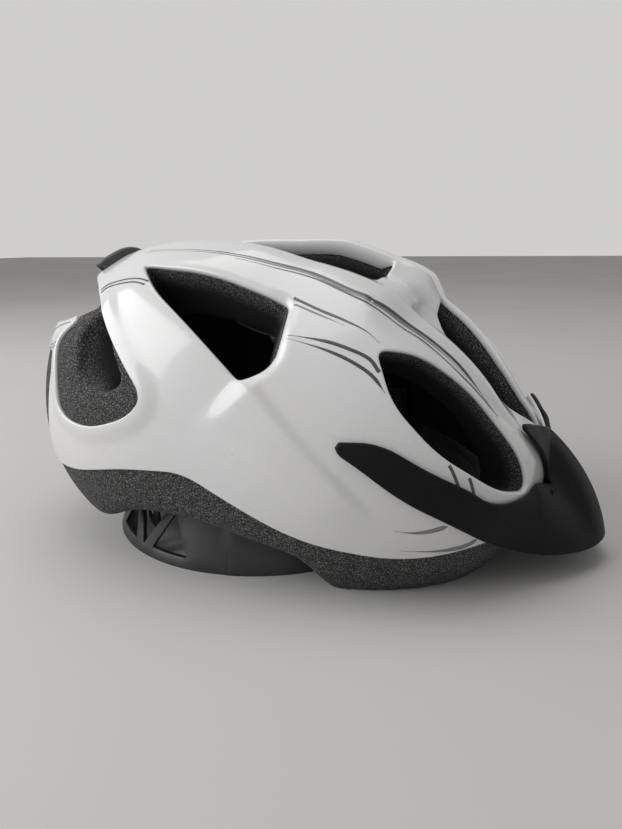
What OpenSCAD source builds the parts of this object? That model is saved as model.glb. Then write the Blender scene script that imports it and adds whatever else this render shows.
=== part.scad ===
// Bicycle helmet with a push-on visor and a dial-adjusted nape cradle.
// Millimetres. The helmet stands on its front rim and on the cradle at z = 0,
// with +X towards the brow, +Y to the wearer's left and +Z up.
// The dome is drawn level about its own centre and then tipped nose down.

/* [Dome] */
// Reach of the dome ahead of its centre
dome_front = 145.5; // [138:0.5:152]
// Reach of the dome behind its centre
dome_rear = 142.5; // [136:0.5:150]
// Half width of the dome
dome_half = 104.5; // [100:0.5:110]
// Height of the dome above its centre
dome_up = 100.3; // [95:0.1:106]
// Depth that the dome's lower half would reach
dome_down = 100; // [94:1:110]
// Height of the dome's centre over the table
dome_lift = 62.8; // [60:0.1:66]
// Distance of the dome's centre behind the origin
dome_back = 15.7; // [12:0.1:20]
// Angle that the nose points down by at rest
nose_down = 10.8; // [9:0.1:12.5]
// Squareness of the dome in plan
plan_square = 2.57; // [2.3:0.01:2.8]

/* [Channel] */
// Depth of the channel between the two top ridges
channel_depth = 8; // [5:0.5:11]
// Half width of the channel's floor
channel_floor = 20; // [14:1:24]
// Width of the bank from the floor to the ridge
channel_bank = 22; // [16:1:26]
// Half width of the fin along the middle of the crown
fin_half = 7; // [5:0.5:9]
// Half width of the spine that divides the front opening
spine_half = 4.5; // [3.5:0.5:6]

/* [Shell and foam] */
// Wall of the outer shell
shell_wall = 1.2; // [0.8:0.1:2]
// Glue gap between shell and foam
glue_gap = 0.1; // [0.05:0.05:0.2]
// Foam thickness at the brow
foam_brow = 27; // [24:0.5:32]
// Foam thickness at the nape
foam_nape = 28; // [24:0.5:32]
// Foam thickness at the sides
foam_side = 24.5; // [22:0.5:28]
// Foam thickness at the crown
foam_crown = 28; // [25:0.5:32]
// Depth of the bare foam in the rear scoops below the foam's skin
scoop_sink = 1.6; // [1:0.1:3]
// Depth of the hollow that leads to each rear slot
scoop_depth = 14; // [10:0.5:17]
// How far the rear trim stands over the dome
trim_proud = 4.7; // [3:0.1:6]
// Gap around the rear trim
trim_gap = 0.3; // [0.2:0.05:0.6]
// Narrowing of the vents for each millimetre of depth
vent_draft = 0.011; // [0.006:0.001:0.013]

/* [Visor] */
// Wall of the visor
visor_wall = 2.2; // [1.6:0.1:3]
// Gap between the visor's arms and the shell
visor_gap = 0.4; // [0.3:0.05:0.8]
// How far the nose stands off the dome
visor_reach = 35; // [28:0.5:42]
// Diameter of a visor peg
peg_d = 6; // [5:0.1:7]
// Running clearance of pegs and pins on the radius
run_gap = 0.05; // [0.02:0.01:0.1]
// Wall of a visor socket
socket_wall = 2; // [1.6:0.1:2.6]
// Distance of each peg from the middle plane
peg_side = 28; // [24:0.5:32]
// Length of a peg inside its socket
peg_grip = 14; // [10:0.5:18]

/* [Cradle] */
// How much wider the cradle's lower rim is than the foam's mouth
ring_spread = 8; // [6:0.5:10]
// Drawing in of the cradle from its foot to its top
ring_lean = 12; // [10:0.5:14]
// Height of the cradle
ring_height = 30; // [28:0.5:32]
// Wall of the cradle
ring_wall = 2.4; // [2:0.1:3]
// Distance of the cradle's centre behind the dome's centre
ring_back = 17; // [14:0.5:20]
// Height of the lower rim
foot_rim = 5; // [4:0.5:7]
// Height of the upper rim
top_rim = 6; // [5:0.5:8]
// Width of a diagonal rib
rib_w = 5; // [4:0.5:6.5]
// Diameter of the pivot pins
pin_d = 5; // [4:0.1:6]
// Angle of the pivot about the cradle's axis, from the rear
pivot_turn = 121.757; // [119:0.001:124]
// Height of the pivot over the table
pivot_z = 30; // [28:0.5:33]
// Outer diameter of a temple boss
boss_d = 13; // [11:0.5:15]

/* [Dial] */
// Tooth size of pinion and racks
module_mm = 1; // [0.9:0.05:1.1]
// Teeth on the pinion
pinion_teeth = 12; // [10:2:14]
// Play between teeth
tooth_play = 0.16; // [0.1:0.02:0.24]
// Wall of a size band
band_wall = 1.6; // [1.2:0.1:2]
// Back of a size band behind its teeth
band_back = 3; // [2.4:0.1:3.6]
// Gap around the size bands in their channels
band_gap = 0.3; // [0.2:0.05:0.5]
// Knob diameter
knob_d = 25; // [22:0.5:28]
// Knob thickness
knob_t = 9; // [7:0.5:12]
// Grips round the knob
knob_grips = 14; // [10:1:18]

/* [Straps] */
// Width of the webbing
web_w = 16; // [14:0.5:18]
// Thickness of the webbing
web_t = 1.6; // [1.2:0.1:2]
// Distance of the side straps inside the foam's mouth
strap_inset = 10; // [9:0.5:12]
// Height of the side straps over the table
strap_z = 52; // [50:0.5:56]
// Width of the buckle
buckle_w = 30; // [28:0.5:34]
// Thickness of the buckle
buckle_t = 10; // [9:0.5:12]
// Gap between the buckle's halves
buckle_gap = 0.3; // [0.2:0.05:0.5]

/* [Pads] */
// Thickness of the comfort pads
pad_t = 6; // [4:0.5:8]
// Gap between a pad and what carries it
pad_gap = 0.5; // [0.4:0.05:0.8]

/* [Hidden] */
$fn = 48;
cut = 1;
far = 400;

// Reach ahead, behind, sideways, up and down, then the squareness of the side view ahead and behind
dome_shape = [dome_front, dome_rear, dome_half, dome_up, dome_down, 1.93, 2.24];
head_shape = [dome_front - foam_brow, dome_rear - foam_nape, dome_half - foam_side,
              dome_up - foam_crown, 1.6 * dome_down, 2, 2.1];
// Lengths over which the channel runs out at the brow and at the rear
channel_fade = [28, 30];
skin = shell_wall + glue_gap;
// Room round a glued-in round piece, on the diameter
seat_gap = 2 * glue_gap + 0.1;

// Vent outlines lie in planes that face [turn, tilt], turn 0 being the wearer's right side
// and turn 90 the brow; then come the level where the vent has its drawn size and its share
// of the draft. Each corner is [across, up, reach of its rounding].
side_face = [0, 45, 100, 1];
side_vent = [[-68, 9, 3], [-27, 9, 14], [15, 5, 4], [21, -27, 7], [10, -40, 4], [-50, -7, 10]];
brow_face = [45, 28, 121, 0.64];
brow_vent = [[-10, 15, 7], [12, 11, 9], [38, -8, 16], [60, -36, 12], [67, -52, 7], [44, -51, 12],
             [12, -34, 12], [-6, -12, 10]];
leaf_face = [90, 40, 120, 0.55];
leaf_vent = [[0, 30, 5], [20, 3, 16], [27, -22, 16], [20, -50, 14], [0, -69, 10],
             [-20, -50, 14], [-27, -22, 16], [-20, 3, 16]];
top_face = [90, 84, 92, 0.36];
top_vent = [[29, -33, 6], [24, 4, 20], [13, 58, 9], [-13, 58, 9], [-24, 4, 20], [-29, -33, 6]];
scoop_face = [-35, 12, 117, 0];
scoop_vent = [[-34, 37, 4], [-14, 29, 8], [8, 16, 14], [30, 1, 8], [24, -12, 10], [2, -27, 12],
              [-22, -29, 12], [-29, -12, 14], [-40, 4, 10], [-28, 22, 10]];
scoop_hollow = [[-17, 27, 3], [-21, 13, 8], [-14, -3, 8], [-2, -8, 8], [9, -5, 4], [14, 3, 3], [-6, 23, 4]];
slot_vent = [[-15, 27, 2], [-5, 22, 4], [14, 5, 3], [14, 1, 3], [6, -5, 4], [-10, 20, 4]];
tail_face = [-90, 28, 120, 0.55];
tail_vent = [[-27, -8, 9], [-20, 14, 9], [20, 14, 9], [27, -8, 9], [0, -16, 14]];

// Lower edges in the side view of the level dome
shell_edge = [[-170, -28, 1], [-118, -40, 14], [-84, -33, 16], [-44, -15.5, 14], [-10, -6, 10],
              [48, -23, 18], [96, -23, 18], [140, -7, 10], [170, -2, 1]];
foam_edge = [[-170, -22, 1], [-122, -31, 14], [-98, -60, 10], [-74, -67, 10], [-40, -40, 16], [-6, -33, 16],
             [48, -37, 8], [66, -60, 6], [170, -60, 1]];

// Crests along the middle plane: [angle up from the brow, height over the dome without its channel]
fin_crest = [[130, -10], [119, -7.5], [115.7, -5.8], [96.4, -2.1], [80.6, 3.4], [65, 4.2], [59.5, 5.3],
             [55.3, 5], [48.8, -2.1], [43.2, -2.9], [33.8, -9]];
bridge_crest = [[66.8, -12], [66.2, -6.5], [64, -5.2], [57.6, -4.4], [55.5, -4.8], [50, -9]];
bridge_half = 34;
crest_root = 14;
// A crest is rounded in steps of [drop of its half width, drop of its height]
crest_steps = [[0, 3], [1, 1.2], [3, 0]];

// Side view of the notch across the rear, and the lowest corner of the shell's rear edge
rear_notch = [[-82, 53, 2], [-100, 42.5, 6], [-122, 33.5, 6], [-165, 24, 1], [-165, 72, 1], [-112, 68, 3],
              [-101, 63.5, 3], [-89, 61, 4], [-83, 57, 3]];
shell_tail = [-113, 23];

// The rear trim in plan, and its edge against the shell
trim_plan = [[-90, -34, 6], [-90, 34, 6], [-96, 44, 6], [-101, 56, 3], [-106, 58, 3], [-112, 40, 8],
             [-114, 0, 14], [-112, -40, 8], [-106, -58, 3], [-101, -56, 3], [-96, -44, 6]];

// Left half of the visor's outline from the middle of its top to the middle of its rim: [turn, rise, rounding]
visor_edge = [[0, 9.4, 1], [5.6, 14, 2], [14.2, 17.3, 1.5], [18.6, 17.3, 1], [14.5, 13, 4], [11, 9.4, 3],
              [8.4, 6, 1.5], [7.4, 3.2, 1], [15.5, 5.3, 1.5], [18, 4, 2], [25, 3.2, 4], [30, 3.9, 4],
              [34, 6.4, 4], [42, 9.6, 5], [51, 14.5, 5], [60, 13.5, 1.5], [59, 11, 1.5], [55, 9, 3],
              [46, 3.5, 5], [37, 0, 5], [25, -5.6, 6], [15.5, -7.2, 5], [9, -6.2, 4], [0, -5.2, 4]];
// Rise at which the visor starts to stand off the dome, and rise of its rim, by turn
visor_fold = [[0, 9.4], [4, 8], [7.4, 4], [15.5, 5], [18, 4], [25, 3.2], [34, 6.4], [42, 9.6], [51, 14.5],
              [66, 14]];
visor_rim = [[0, -5.2], [9, -6.2], [15.5, -7.2], [25, -5.6], [37, 0], [46, 3.5], [55, 9], [66, 13]];
// Turn at which the nose has come back to the dome, and how soon it swells below the fold
visor_span = 27;
visor_swell = 0.72;
visor_turns = [for (k = [-16:16]) 4 * k];
visor_rises = [for (k = [-4:9]) 2.4 * k];

peg_z = 6;
peg_hole_d = peg_d + 2;
peg_short = 1;
socket_floor = 2;
socket_sink = 2;
socket_d = peg_d + 2 * run_gap + 2 * socket_wall;

// Ribs of the cradle, in degrees about its axis from the rear
rib_pitch = 27.5;
rib_first = 9;
housing_half = 15;
plate_start = 101;
plate_end = 131;
plate_step = 0.3;
end_plate = 5;
wall_y = dome_half - foam_side;
ring_r = wall_y + ring_spread;
ring_x = -dome_back - ring_back;
pivot_ahead = -ring_at(pivot_z) * cos(pivot_turn);
pivot_x = pivot_ahead - ring_back;
arm_eye_r = pin_d / 2 + 5;
// A boss starts just outside the plate's face, which is widest below and behind the pivot
boss_play = 0.38;
plate_face = sqrt(pow(ring_at(pivot_z - boss_d / 2 * sin(45)), 2) - pow(pivot_ahead - boss_d / 2 * cos(45), 2))
             + plate_step;
boss_in = wall_y - plate_face - boss_play;
boss_deep = 12;
boss_floor = 3;
pin_short = 1;
pin_past = 3;
pin_head = 1.6;
pin_head_d = pin_d + 4;

// Dial train: the pinion's axis points to the rear at mid height
dial_z = ring_height / 2;
pitch_r = module_mm * pinion_teeth / 2;
tooth_up = 0.8 * module_mm;
tooth_down = module_mm;
slant = 28;
band_clear = 1;
band_out = ring_r - ring_lean - ring_wall - band_clear;
band_in = band_out - band_wall;
housing_floor = 2.5;
housing_in = band_in - housing_floor;
housing_out = band_out + 2;
cover_t = 3.2;
cover_out = housing_out + cover_t;
shaft_r = 3;
collar_r = 7.5;
collar_out = cover_out + 5;
knob_gap = 0.4;
knob_in = collar_out + knob_gap;
shaft_end = knob_in + knob_t - 4;
channel_top = pitch_r + tooth_down + band_back + band_gap;
housing_wall = 2;
housing_z = channel_top + housing_wall;
pinion_room = 0.6;
screw_at = 11;
screw_r = 1.5;
screw_head_r = 3;
screw_head_t = 1.8;
screw_floor = 1.5;
screw_proud = 0.4;
screw_play = 0.1;
// One pinion tooth turns the bands by this many degrees
tooth_step = module_mm * 180 / (band_in + band_wall / 2);
tail_past = 9;
rack_teeth = 9;
rack_lead = 2;
wing_start = 26;
wing_end = 58;

// Thickness that a pad keeps at its border
pad_edge = 1.2;
// Pads on the foam's inner face: [turn from, turn to, rise from, rise to]
brow_pad_span = [-46, 46, -17, -5];
crown_pad_span = [58, 122, 47, 60];
side_pad_span = [64, 114, 6, 21];

strap_x = -dome_back;
strap_side = wall_y - strap_inset;
divider = [26, 22, 4];
// How far a strap runs under a divider, and past an anchor's edge
divider_lap = 6;
anchor_lap = 2;
anchor_apart = 46;
front_anchor = [strap_x + anchor_apart, strap_z + 3];
rear_anchor = [strap_x - anchor_apart, strap_z + 4];
anchor_plug_r = 4.5;
anchor_plug = 10;
anchor_head = [12, 20, 1.8];
buckle_z = 4;
socket_len = 27;
socket_y = 4;
plug_len = 15;
prong_len = 19;
prong_t = 4.4;
prong_gap = 0.5;
plug_floor = 3;
socket_side = 4;
socket_skin = 2;
strap_grip = 6;
slot_w = web_w + 1;
slot_t = web_t + 0.8;
strap_mid_z = buckle_z + buckle_t / 2;

// Curves and surfaces

function smooth(t) = let (s = max(0, min(1, t))) s * s * (3 - 2 * s);
function toward(turn, rise) = [cos(rise) * cos(turn), cos(rise) * sin(turn), sin(rise)];

// Points of an outline whose corners are rounded off by a short curve
function soften(p, steps = 4) = [
    for (i = [0:len(p) - 1])
        let (a = p[(i + len(p) - 1) % len(p)], b = p[i], c = p[(i + 1) % len(p)],
             at = [b[0], b[1]], to_a = [a[0], a[1]] - at, to_c = [c[0], c[1]] - at,
             from = at + to_a * min(b[2] / norm(to_a), 0.48),
             to = at + to_c * min(b[2] / norm(to_c), 0.48))
        for (k = [0:steps])
            let (s = k / steps) from * (1 - s) * (1 - s) + at * 2 * s * (1 - s) + to * s * s];

function middle(p) = [for (axis = [0, 1]) let (v = [for (q = p) q[axis]]) (min(v) + max(v)) / 2];

// Distance from the dome's centre to a surface of the given shape in a direction
function reach(d, shape) =
    let (a = d.x > 0 ? shape[0] : shape[1],
         h = d.z > 0 ? shape[3] : shape[4],
         level = norm([d.x, d.y]) + 0.000001,
         m = shape[5] + (shape[6] - shape[5]) * smooth(0.4 - d.x / level),
         plan = pow(abs(d.x) / a, plan_square) + pow(abs(d.y) / shape[2], plan_square))
    pow(pow(plan, m / plan_square) + pow(abs(d.z) / h, m), -1 / m);

// How far the channel between the ridges lies below the dome at a point
function channel(p) =
    p.z < 0 ? 0 : channel_depth * (1 - smooth((abs(p.y) - channel_floor) / channel_bank))
                  * smooth((dome_front - p.x) / channel_fade[0]) * smooth((p.x + dome_rear) / channel_fade[1]);

function dome_reach(d) = let (r = reach(d, dome_shape)) r - channel(d * r);
function dome_point(turn, rise, grow) = let (d = toward(turn, rise)) d * (dome_reach(d) + grow);
function head_point(turn, rise, grow) = let (d = toward(turn, rise)) d * (reach(d, head_shape) + grow);

// Triangles of a grid of rows and columns of points
function grid_faces(rows, cols, from, flip) = [
    for (i = [0:rows - 2])
        for (j = [0:cols - 2])
            let (a = from + i * cols + j, b = a + 1, c = a + cols, d = c + 1)
            each flip ? [[a, b, d], [a, d, c]] : [[a, d, b], [a, c, d]]];

// Triangles that close two grids of the same size along their border
function rim_faces(rows, cols, shift) =
    let (round = concat([for (j = [0:cols - 1]) j], [for (i = [1:rows - 1]) i * cols + cols - 1],
                        [for (j = [cols - 2:-1:0]) (rows - 1) * cols + j],
                        [for (i = [rows - 2:-1:1]) i * cols]))
    [for (k = [0:len(round) - 1])
        let (a = round[k], b = round[(k + 1) % len(round)])
        each [[a, b, b + shift], [a, b + shift, a + shift]]];

// Solid between two grids of points
module slab(near, off, rows, cols) {
    n = rows * cols;
    polyhedron(concat(near, off),
               concat(grid_faces(rows, cols, 0, false), grid_faces(rows, cols, n, true),
                      rim_faces(rows, cols, n)), convexity = 8);
}

// Closed dome of rings from the crown down
module dome(grow = 0, head = false, turns = 48, rings = 18, lowest = 140) {
    drops = [for (i = [1:rings]) 90 - lowest * i / rings];
    points = concat([head ? head_point(0, 90, grow) : dome_point(0, 90, grow)],
                    [for (rise = drops) for (k = [0:turns - 1])
                        let (turn = k * 360 / turns)
                        head ? head_point(turn, rise, grow) : dome_point(turn, rise, grow)]);
    faces = concat([for (k = [0:turns - 1]) [0, 1 + (k + 1) % turns, 1 + k]],
                   [for (i = [0:rings - 2]) for (k = [0:turns - 1])
                       let (a = 1 + i * turns + k, b = 1 + i * turns + (k + 1) % turns)
                       each [[a, b, b + turns], [a, b + turns, a + turns]]],
                   [[for (k = [0:turns - 1]) 1 + (rings - 1) * turns + k]]);
    polyhedron(points, faces, convexity = 8);
}

// Puts the level dome in its place over the table, nose down
module on_table() {
    translate([-dome_back, 0, dome_lift]) rotate([0, nose_down, 0]) children();
}

module both_sides() {
    children();
    mirror([0, 1, 0]) children();
}

// Prism of an outline through the dome, drawn in towards its middle
module vent_cut(face, outline) {
    inner = 40;
    outer = 170;
    at = middle(outline);
    first = 1 + (inner - face[2]) * face[3] * vent_draft;
    last = 1 + (outer - face[2]) * face[3] * vent_draft;
    rotate([90 - face[1], 0, face[0]]) translate([at.x, at.y, inner])
        linear_extrude(outer - inner, scale = last / first) scale(first)
        translate(-at) polygon(soften(outline));
}

// Opening on the middle plane that leaves a bar along it
module halved_vent(face, outline, bar) {
    difference() {
        vent_cut(face, outline);
        cube([far, 2 * bar, far], center = true);
    }
}

module vents() {
    both_sides() {
        vent_cut(side_face, side_vent);
        vent_cut(brow_face, brow_vent);
        vent_cut(scoop_face, slot_vent);
    }
    halved_vent(leaf_face, leaf_vent, spine_half);
    halved_vent(top_face, top_vent, fin_half);
    vent_cut(tail_face, tail_vent);
}

module scoop_mouths() {
    both_sides() vent_cut(scoop_face, scoop_vent);
}

// Funnels in the foam from each scoop down to its slot
module scoop_funnels() {
    rim = 3;
    spare = 0.6;
    both_sides() rotate([90 - scoop_face[1], 0, scoop_face[0]]) hull() {
        translate([0, 0, scoop_face[2] + rim]) linear_extrude(far / 8) polygon(soften(scoop_hollow));
        translate([0, 0, scoop_face[2] - scoop_depth]) linear_extrude(cut)
            offset(delta = spare) polygon(soften(slot_vent));
    }
}

// Bar across the middle plane under a crest
module crest_bar(crest, half, grow) {
    function at(angle, up) = let (d = [cos(angle), sin(angle)]) d * (reach([d.x, 0, d.y], dome_shape) + up);
    for (step = crest_steps)
        rotate([90, 0, 0]) linear_extrude(2 * (half - step[0] + grow), center = true)
            polygon(concat([for (c = crest) at(c[0], c[1] - step[1] + grow)],
                           [for (i = [len(crest) - 1:-1:0]) at(crest[i][0], -crest_root)]));
}

// The dome with the fin along its crown and the bridge between the two middle openings
module crowned_dome(grow = 0) {
    dome(grow);
    crest_bar(fin_crest, fin_half, grow);
    crest_bar(bridge_crest, bridge_half, grow);
}

module rear_cut() {
    rotate([90, 0, 0]) linear_extrude(far, center = true) polygon(soften(rear_notch));
}

// Everything below an edge line of the side view
module below(edge) {
    rotate([90, 0, 0]) translate([0, 0, -far / 2]) linear_extrude(far)
        polygon(concat(soften(edge), [[far, -far], [-far, -far]]));
}

module trim_prism(grow) {
    linear_extrude(far) offset(delta = grow) polygon(soften(trim_plan));
}

// Holes along the pegs and pivots, drawn over the table
module peg_bar(d, from, to) {
    both_sides() on_table() translate([from, peg_side, peg_z]) rotate([0, 90, 0])
        cylinder(d = d, h = to - from);
}

// Dome surface straight ahead of a peg
function front_of(y) = dome_front * pow(1 - pow(y / dome_half, plan_square), 1 / plan_square);
socket_mouth = front_of(peg_side + socket_d / 2) - skin - socket_sink;
socket_end = socket_mouth - peg_grip - socket_floor;

module boss_bar(d, from, to) {
    both_sides() translate([pivot_x - dome_back, from, pivot_z]) rotate([-90, 0, 0])
        cylinder(d = d, h = to - from);
}

// Half width of the head's space at a distance ahead of the dome's centre
function head_half(x) = head_shape[2] * pow(1 - pow(abs(x) / head_shape[x > 0 ? 0 : 1], plan_square),
                                            1 / plan_square);

module anchor_bars(d, deep) {
    for (at = [front_anchor, rear_anchor])
        both_sides() translate([at.x, strap_side + web_t, at.y])
            rotate([-90, 0, 0]) cylinder(d = d, h = head_half(at.x - strap_x) - strap_side + deep);
}

// Head shell

module outer_shell() color("white") resize([0, 0, 0]) difference() {
    on_table() difference() {
        crowned_dome();
        crowned_dome(-shell_wall);
        below(shell_edge);
        vents();
        scoop_mouths();
        rear_cut();
        trim_prism(0);
        translate([shell_tail.x - far, -far / 2, shell_tail.y - far]) cube(far);
    }
    peg_bar(peg_hole_d, dome_front / 2, dome_front + visor_reach);
}

module rear_trim() color("dimgray") resize([0, 0, 0]) on_table() difference() {
    intersection() {
        dome(trim_proud);
        trim_prism(-trim_gap);
    }
    dome(-shell_wall);
    rear_cut();
}

module foam_liner() color("#404042") resize([0, 0, 0]) difference() {
    on_table() difference() {
        crowned_dome(-skin);
        dome(0, true);
        below(foam_edge);
        vents();
        rear_cut();
        difference() {
            scoop_mouths();
            dome(-skin - scoop_sink);
        }
        scoop_funnels();
    }
    translate([-far / 2, -far / 2, -far]) cube([far, far, far]);
    peg_bar(socket_d + seat_gap, socket_end - glue_gap, dome_front + visor_reach);
    boss_bar(boss_d + seat_gap, wall_y - boss_in, wall_y + boss_deep + glue_gap);
    anchor_bars(2 * anchor_plug_r + seat_gap, anchor_plug + glue_gap);
}

module visor_sockets() color("#202022") both_sides() on_table()
    translate([socket_end, peg_side, peg_z]) rotate([0, 90, 0]) difference() {
        cylinder(d = socket_d, h = socket_mouth - socket_end);
        translate([0, 0, socket_floor]) cylinder(d = peg_d + 2 * run_gap, h = far);
    }

// Visor: a curved sheet whose arms hug the shell and whose nose stands off it

function visor_point(turn, rise, grow) =
    let (fold = lookup(abs(turn), visor_fold),
         down = max(0, (fold - rise) / (fold - lookup(abs(turn), visor_rim))),
         out = visor_reach * (1 - smooth(abs(turn) / visor_span)) * pow(down, visor_swell),
         d = toward(turn, rise))
    d * (reach(d, dome_shape) + visor_gap + grow + out);

// Sheet of visor points, grown off the shell
function visor_sheet(grow) = [for (turn = visor_turns) for (rise = visor_rises) visor_point(turn, rise, grow)];

// Cone from the dome's centre through the visor's outline
module visor_cone() {
    near = 20;
    beyond = 240;
    half = soften(visor_edge);
    right = [for (i = [len(half) - 1:-1:0]) [-half[i].x, half[i].y]];
    rotate([90, 0, 90]) translate([0, 0, near]) linear_extrude(beyond - near, scale = beyond / near) scale(near)
        polygon([for (p = concat(half, right)) [tan(p.x), tan(p.y) / cos(p.x)]]);
}

module visor() color("#1b1b1d") resize([0, 0, 0]) {
    rows = len(visor_turns);
    cols = len(visor_rises);
    on_table() intersection() {
        slab(visor_sheet(0), visor_sheet(visor_wall), rows, cols);
        visor_cone();
    }
    intersection() {
        peg_bar(peg_d, socket_end + socket_floor + peg_short, dome_front + visor_reach);
        on_table() slab(visor_sheet(-dome_front / 2), visor_sheet(visor_wall / 2), rows, cols);
    }
}

// Cradle

module temple_bosses() color("#202022") difference() {
    boss_bar(boss_d, wall_y - boss_in, wall_y + boss_deep);
    boss_bar(pin_d + 2 * run_gap, wall_y - boss_in - cut, wall_y + boss_deep - boss_floor);
}

// Radius of the cradle's outer face at a height
function ring_at(z) = ring_r - ring_lean * z / ring_height;
// Sector of the cradle's leaning wall between two heights, in degrees from the rear
module ring_wall_part(low, high, from, to, wall = ring_wall, proud = 0) {
    translate([ring_x, 0, 0]) rotate([0, 0, 180 + from]) rotate_extrude(angle = to - from, $fn = 96)
        polygon([[ring_at(low) + proud - wall, low], [ring_at(low) + proud, low],
                 [ring_at(high) + proud, high], [ring_at(high) + proud - wall, high]]);
}

// Triangular window between two ribs; its point is at the top or at the foot
module window(at, point_up) {
    low = foot_rim;
    high = ring_height - top_rim;
    mid_r = ring_at(ring_height / 2);
    half = mid_r * sin(rib_pitch / 2) - 1.45 * rib_w;
    tip = rib_w / 10;
    translate([ring_x, 0, 0]) rotate([0, 0, 180 + at]) rotate([90, 0, 90]) translate([0, 0, mid_r / 2])
        linear_extrude(mid_r)
        polygon(point_up ? [[-half, low], [half, low], [tip, high], [-tip, high]]
                         : [[-half, high], [half, high], [tip, low], [-tip, low]]);
}

// Thick end of the cradle that meets the dial's housing
module end_block() {
    low = dial_z - housing_z;
    high = dial_z + housing_z;
    translate([ring_x, 0, 0]) rotate([0, 0, 180 + housing_half]) rotate_extrude(angle = end_plate, $fn = 96)
        polygon([[band_out + 2 * band_gap, low], [ring_at(low) - ring_wall / 2, low],
                 [ring_at(high) - ring_wall / 2, high], [band_out + 2 * band_gap, high]]);
}

module half_frame() {
    difference() {
        ring_wall_part(0, ring_height, housing_half + end_plate / 4, plate_start + 1);
        for (k = [1:3]) window(rib_first + (k - 0.5) * rib_pitch, true);
        for (k = [1:2]) window(rib_first + k * rib_pitch, false);
    }
    difference() {
        ring_wall_part(0, pivot_z + arm_eye_r, plate_start, plate_end, ring_wall + 2 * plate_step, plate_step);
        boss_bar(pin_d, 0, far);
    }
    end_block();
}

module cradle_frame() color("#262628") both_sides() half_frame();

module pivot_pins() color("silver") {
    reach_in = ring_at(pivot_z) * sin(plate_end) - ring_wall - pin_past;
    boss_bar(pin_d, reach_in, wall_y + boss_deep - boss_floor - pin_short);
    boss_bar(pin_head_d, reach_in - pin_head, reach_in);
}

// Sector of a round wall between two radii, centred on the rear
module rear_block(inner, outer, half, low, high) {
    translate([ring_x, 0, low]) rotate([0, 0, 180 - half]) rotate_extrude(angle = 2 * half, $fn = 96)
        translate([inner, 0]) square([outer - inner, high - low]);
}

// Bar along the dial's axis between two distances from the cradle's axis
module dial_bar(r, from, to) {
    translate([ring_x - from, 0, dial_z]) rotate([0, -90, 0]) cylinder(r = r, h = to - from);
}

module screw_bars(r, from, to) {
    for (side = [-1, 1])
        translate([ring_x, 0, dial_z]) rotate([0, 0, 180 + side * screw_at]) translate([from, 0, 0])
            rotate([0, 90, 0]) cylinder(r = r, h = to - from, $fn = 24);
}

module dial_housing() color("#262628") difference() {
    rear_block(housing_in, housing_out, housing_half, dial_z - housing_z, dial_z + housing_z);
    for (side = [-1, 1])
        rear_block(band_in - band_gap, housing_out + cut, housing_half + cut,
                   dial_z + (side > 0 ? pitch_r - tooth_up - band_gap : -channel_top),
                   dial_z + (side > 0 ? channel_top : tooth_up + band_gap - pitch_r));
    dial_bar(pitch_r + tooth_up + band_gap, band_in - band_gap - pinion_room, housing_out + 3 * cut);
    screw_bars(screw_r, housing_in + screw_floor, far);
}

module dial_cover() color("#2c2c2e") difference() {
    union() {
        rear_block(housing_out, cover_out, housing_half, dial_z - housing_z, dial_z + housing_z);
        dial_bar(collar_r, housing_out + 1, collar_out);
    }
    dial_bar(shaft_r + run_gap, housing_in, far / 2);
    screw_bars(screw_r, housing_in, far / 2);
    screw_bars(screw_head_r + screw_play, cover_out - screw_head_t + screw_proud, far / 2);
}

module cover_screws() color("silver") {
    seat = cover_out - screw_head_t + screw_proud;
    screw_bars(screw_r, housing_in + screw_floor, seat + screw_play);
    screw_bars(screw_head_r, seat, seat + screw_head_t);
}

module dial_knob() color("#303033") {
    grip_d = 4;
    grip_out = 0.8;
    flange = 1.5;
    face_rim = 5;
    face_sink = 2;
    difference() {
        dial_bar(knob_d / 2, knob_in, knob_in + knob_t);
        for (k = [0:knob_grips - 1])
            translate([ring_x, 0, dial_z]) rotate([k * 360 / knob_grips, 0, 0])
                translate([-knob_in - knob_t - cut, knob_d / 2 + grip_out, 0]) rotate([0, 90, 0])
                cylinder(d = grip_d, h = knob_t - flange + cut, $fn = 24);
        dial_bar(knob_d / 2 - face_rim, knob_in + knob_t - face_sink, far);
        dial_bar(shaft_r, 0, shaft_end);
    }
}

// Flank of a pinion tooth: where the circle's unwound string reaches a radius
function unwound(r, base) = let (t = sqrt(max(0, r * r / (base * base) - 1))) t * 180 / PI - atan(t);

module pinion_outline() {
    base = pitch_r * cos(slant);
    root = pitch_r - tooth_down;
    tip = pitch_r + tooth_up;
    half = 90 / pinion_teeth - tooth_play / 2 / pitch_r * 180 / PI + unwound(pitch_r, base);
    radii = [for (i = [0:4]) max(base, root) + (tip - max(base, root)) * i / 4];
    polygon([for (k = [0:pinion_teeth - 1])
        let (mid = k * 360 / pinion_teeth)
        each concat([for (r = radii) let (a = mid - half + unwound(r, base)) r * [cos(a), sin(a)]],
                    [for (i = [4:-1:0])
                        let (r = radii[i], a = mid + half - unwound(r, base)) r * [cos(a), sin(a)]],
                    [let (a = mid + 180 / pinion_teeth) root * [cos(a), sin(a)]])]);
}

module dial_pinion() color("gainsboro") {
    translate([ring_x - band_out - band_gap, 0, dial_z]) rotate([0, 90, 0])
        linear_extrude(band_wall + band_gap) pinion_outline();
    dial_bar(shaft_r, band_out - band_gap, shaft_end);
}

// Sector of the size band's round wall, in degrees from the rear with the wearer's right positive
module rear_arc(from, to, low, high, spare = 0) {
    translate([ring_x, 0, low]) rotate([0, 0, 180 + from]) rotate_extrude(angle = to - from, $fn = 120)
        translate([band_in - spare, 0]) square([band_wall + 2 * spare, high - low]);
}

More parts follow.
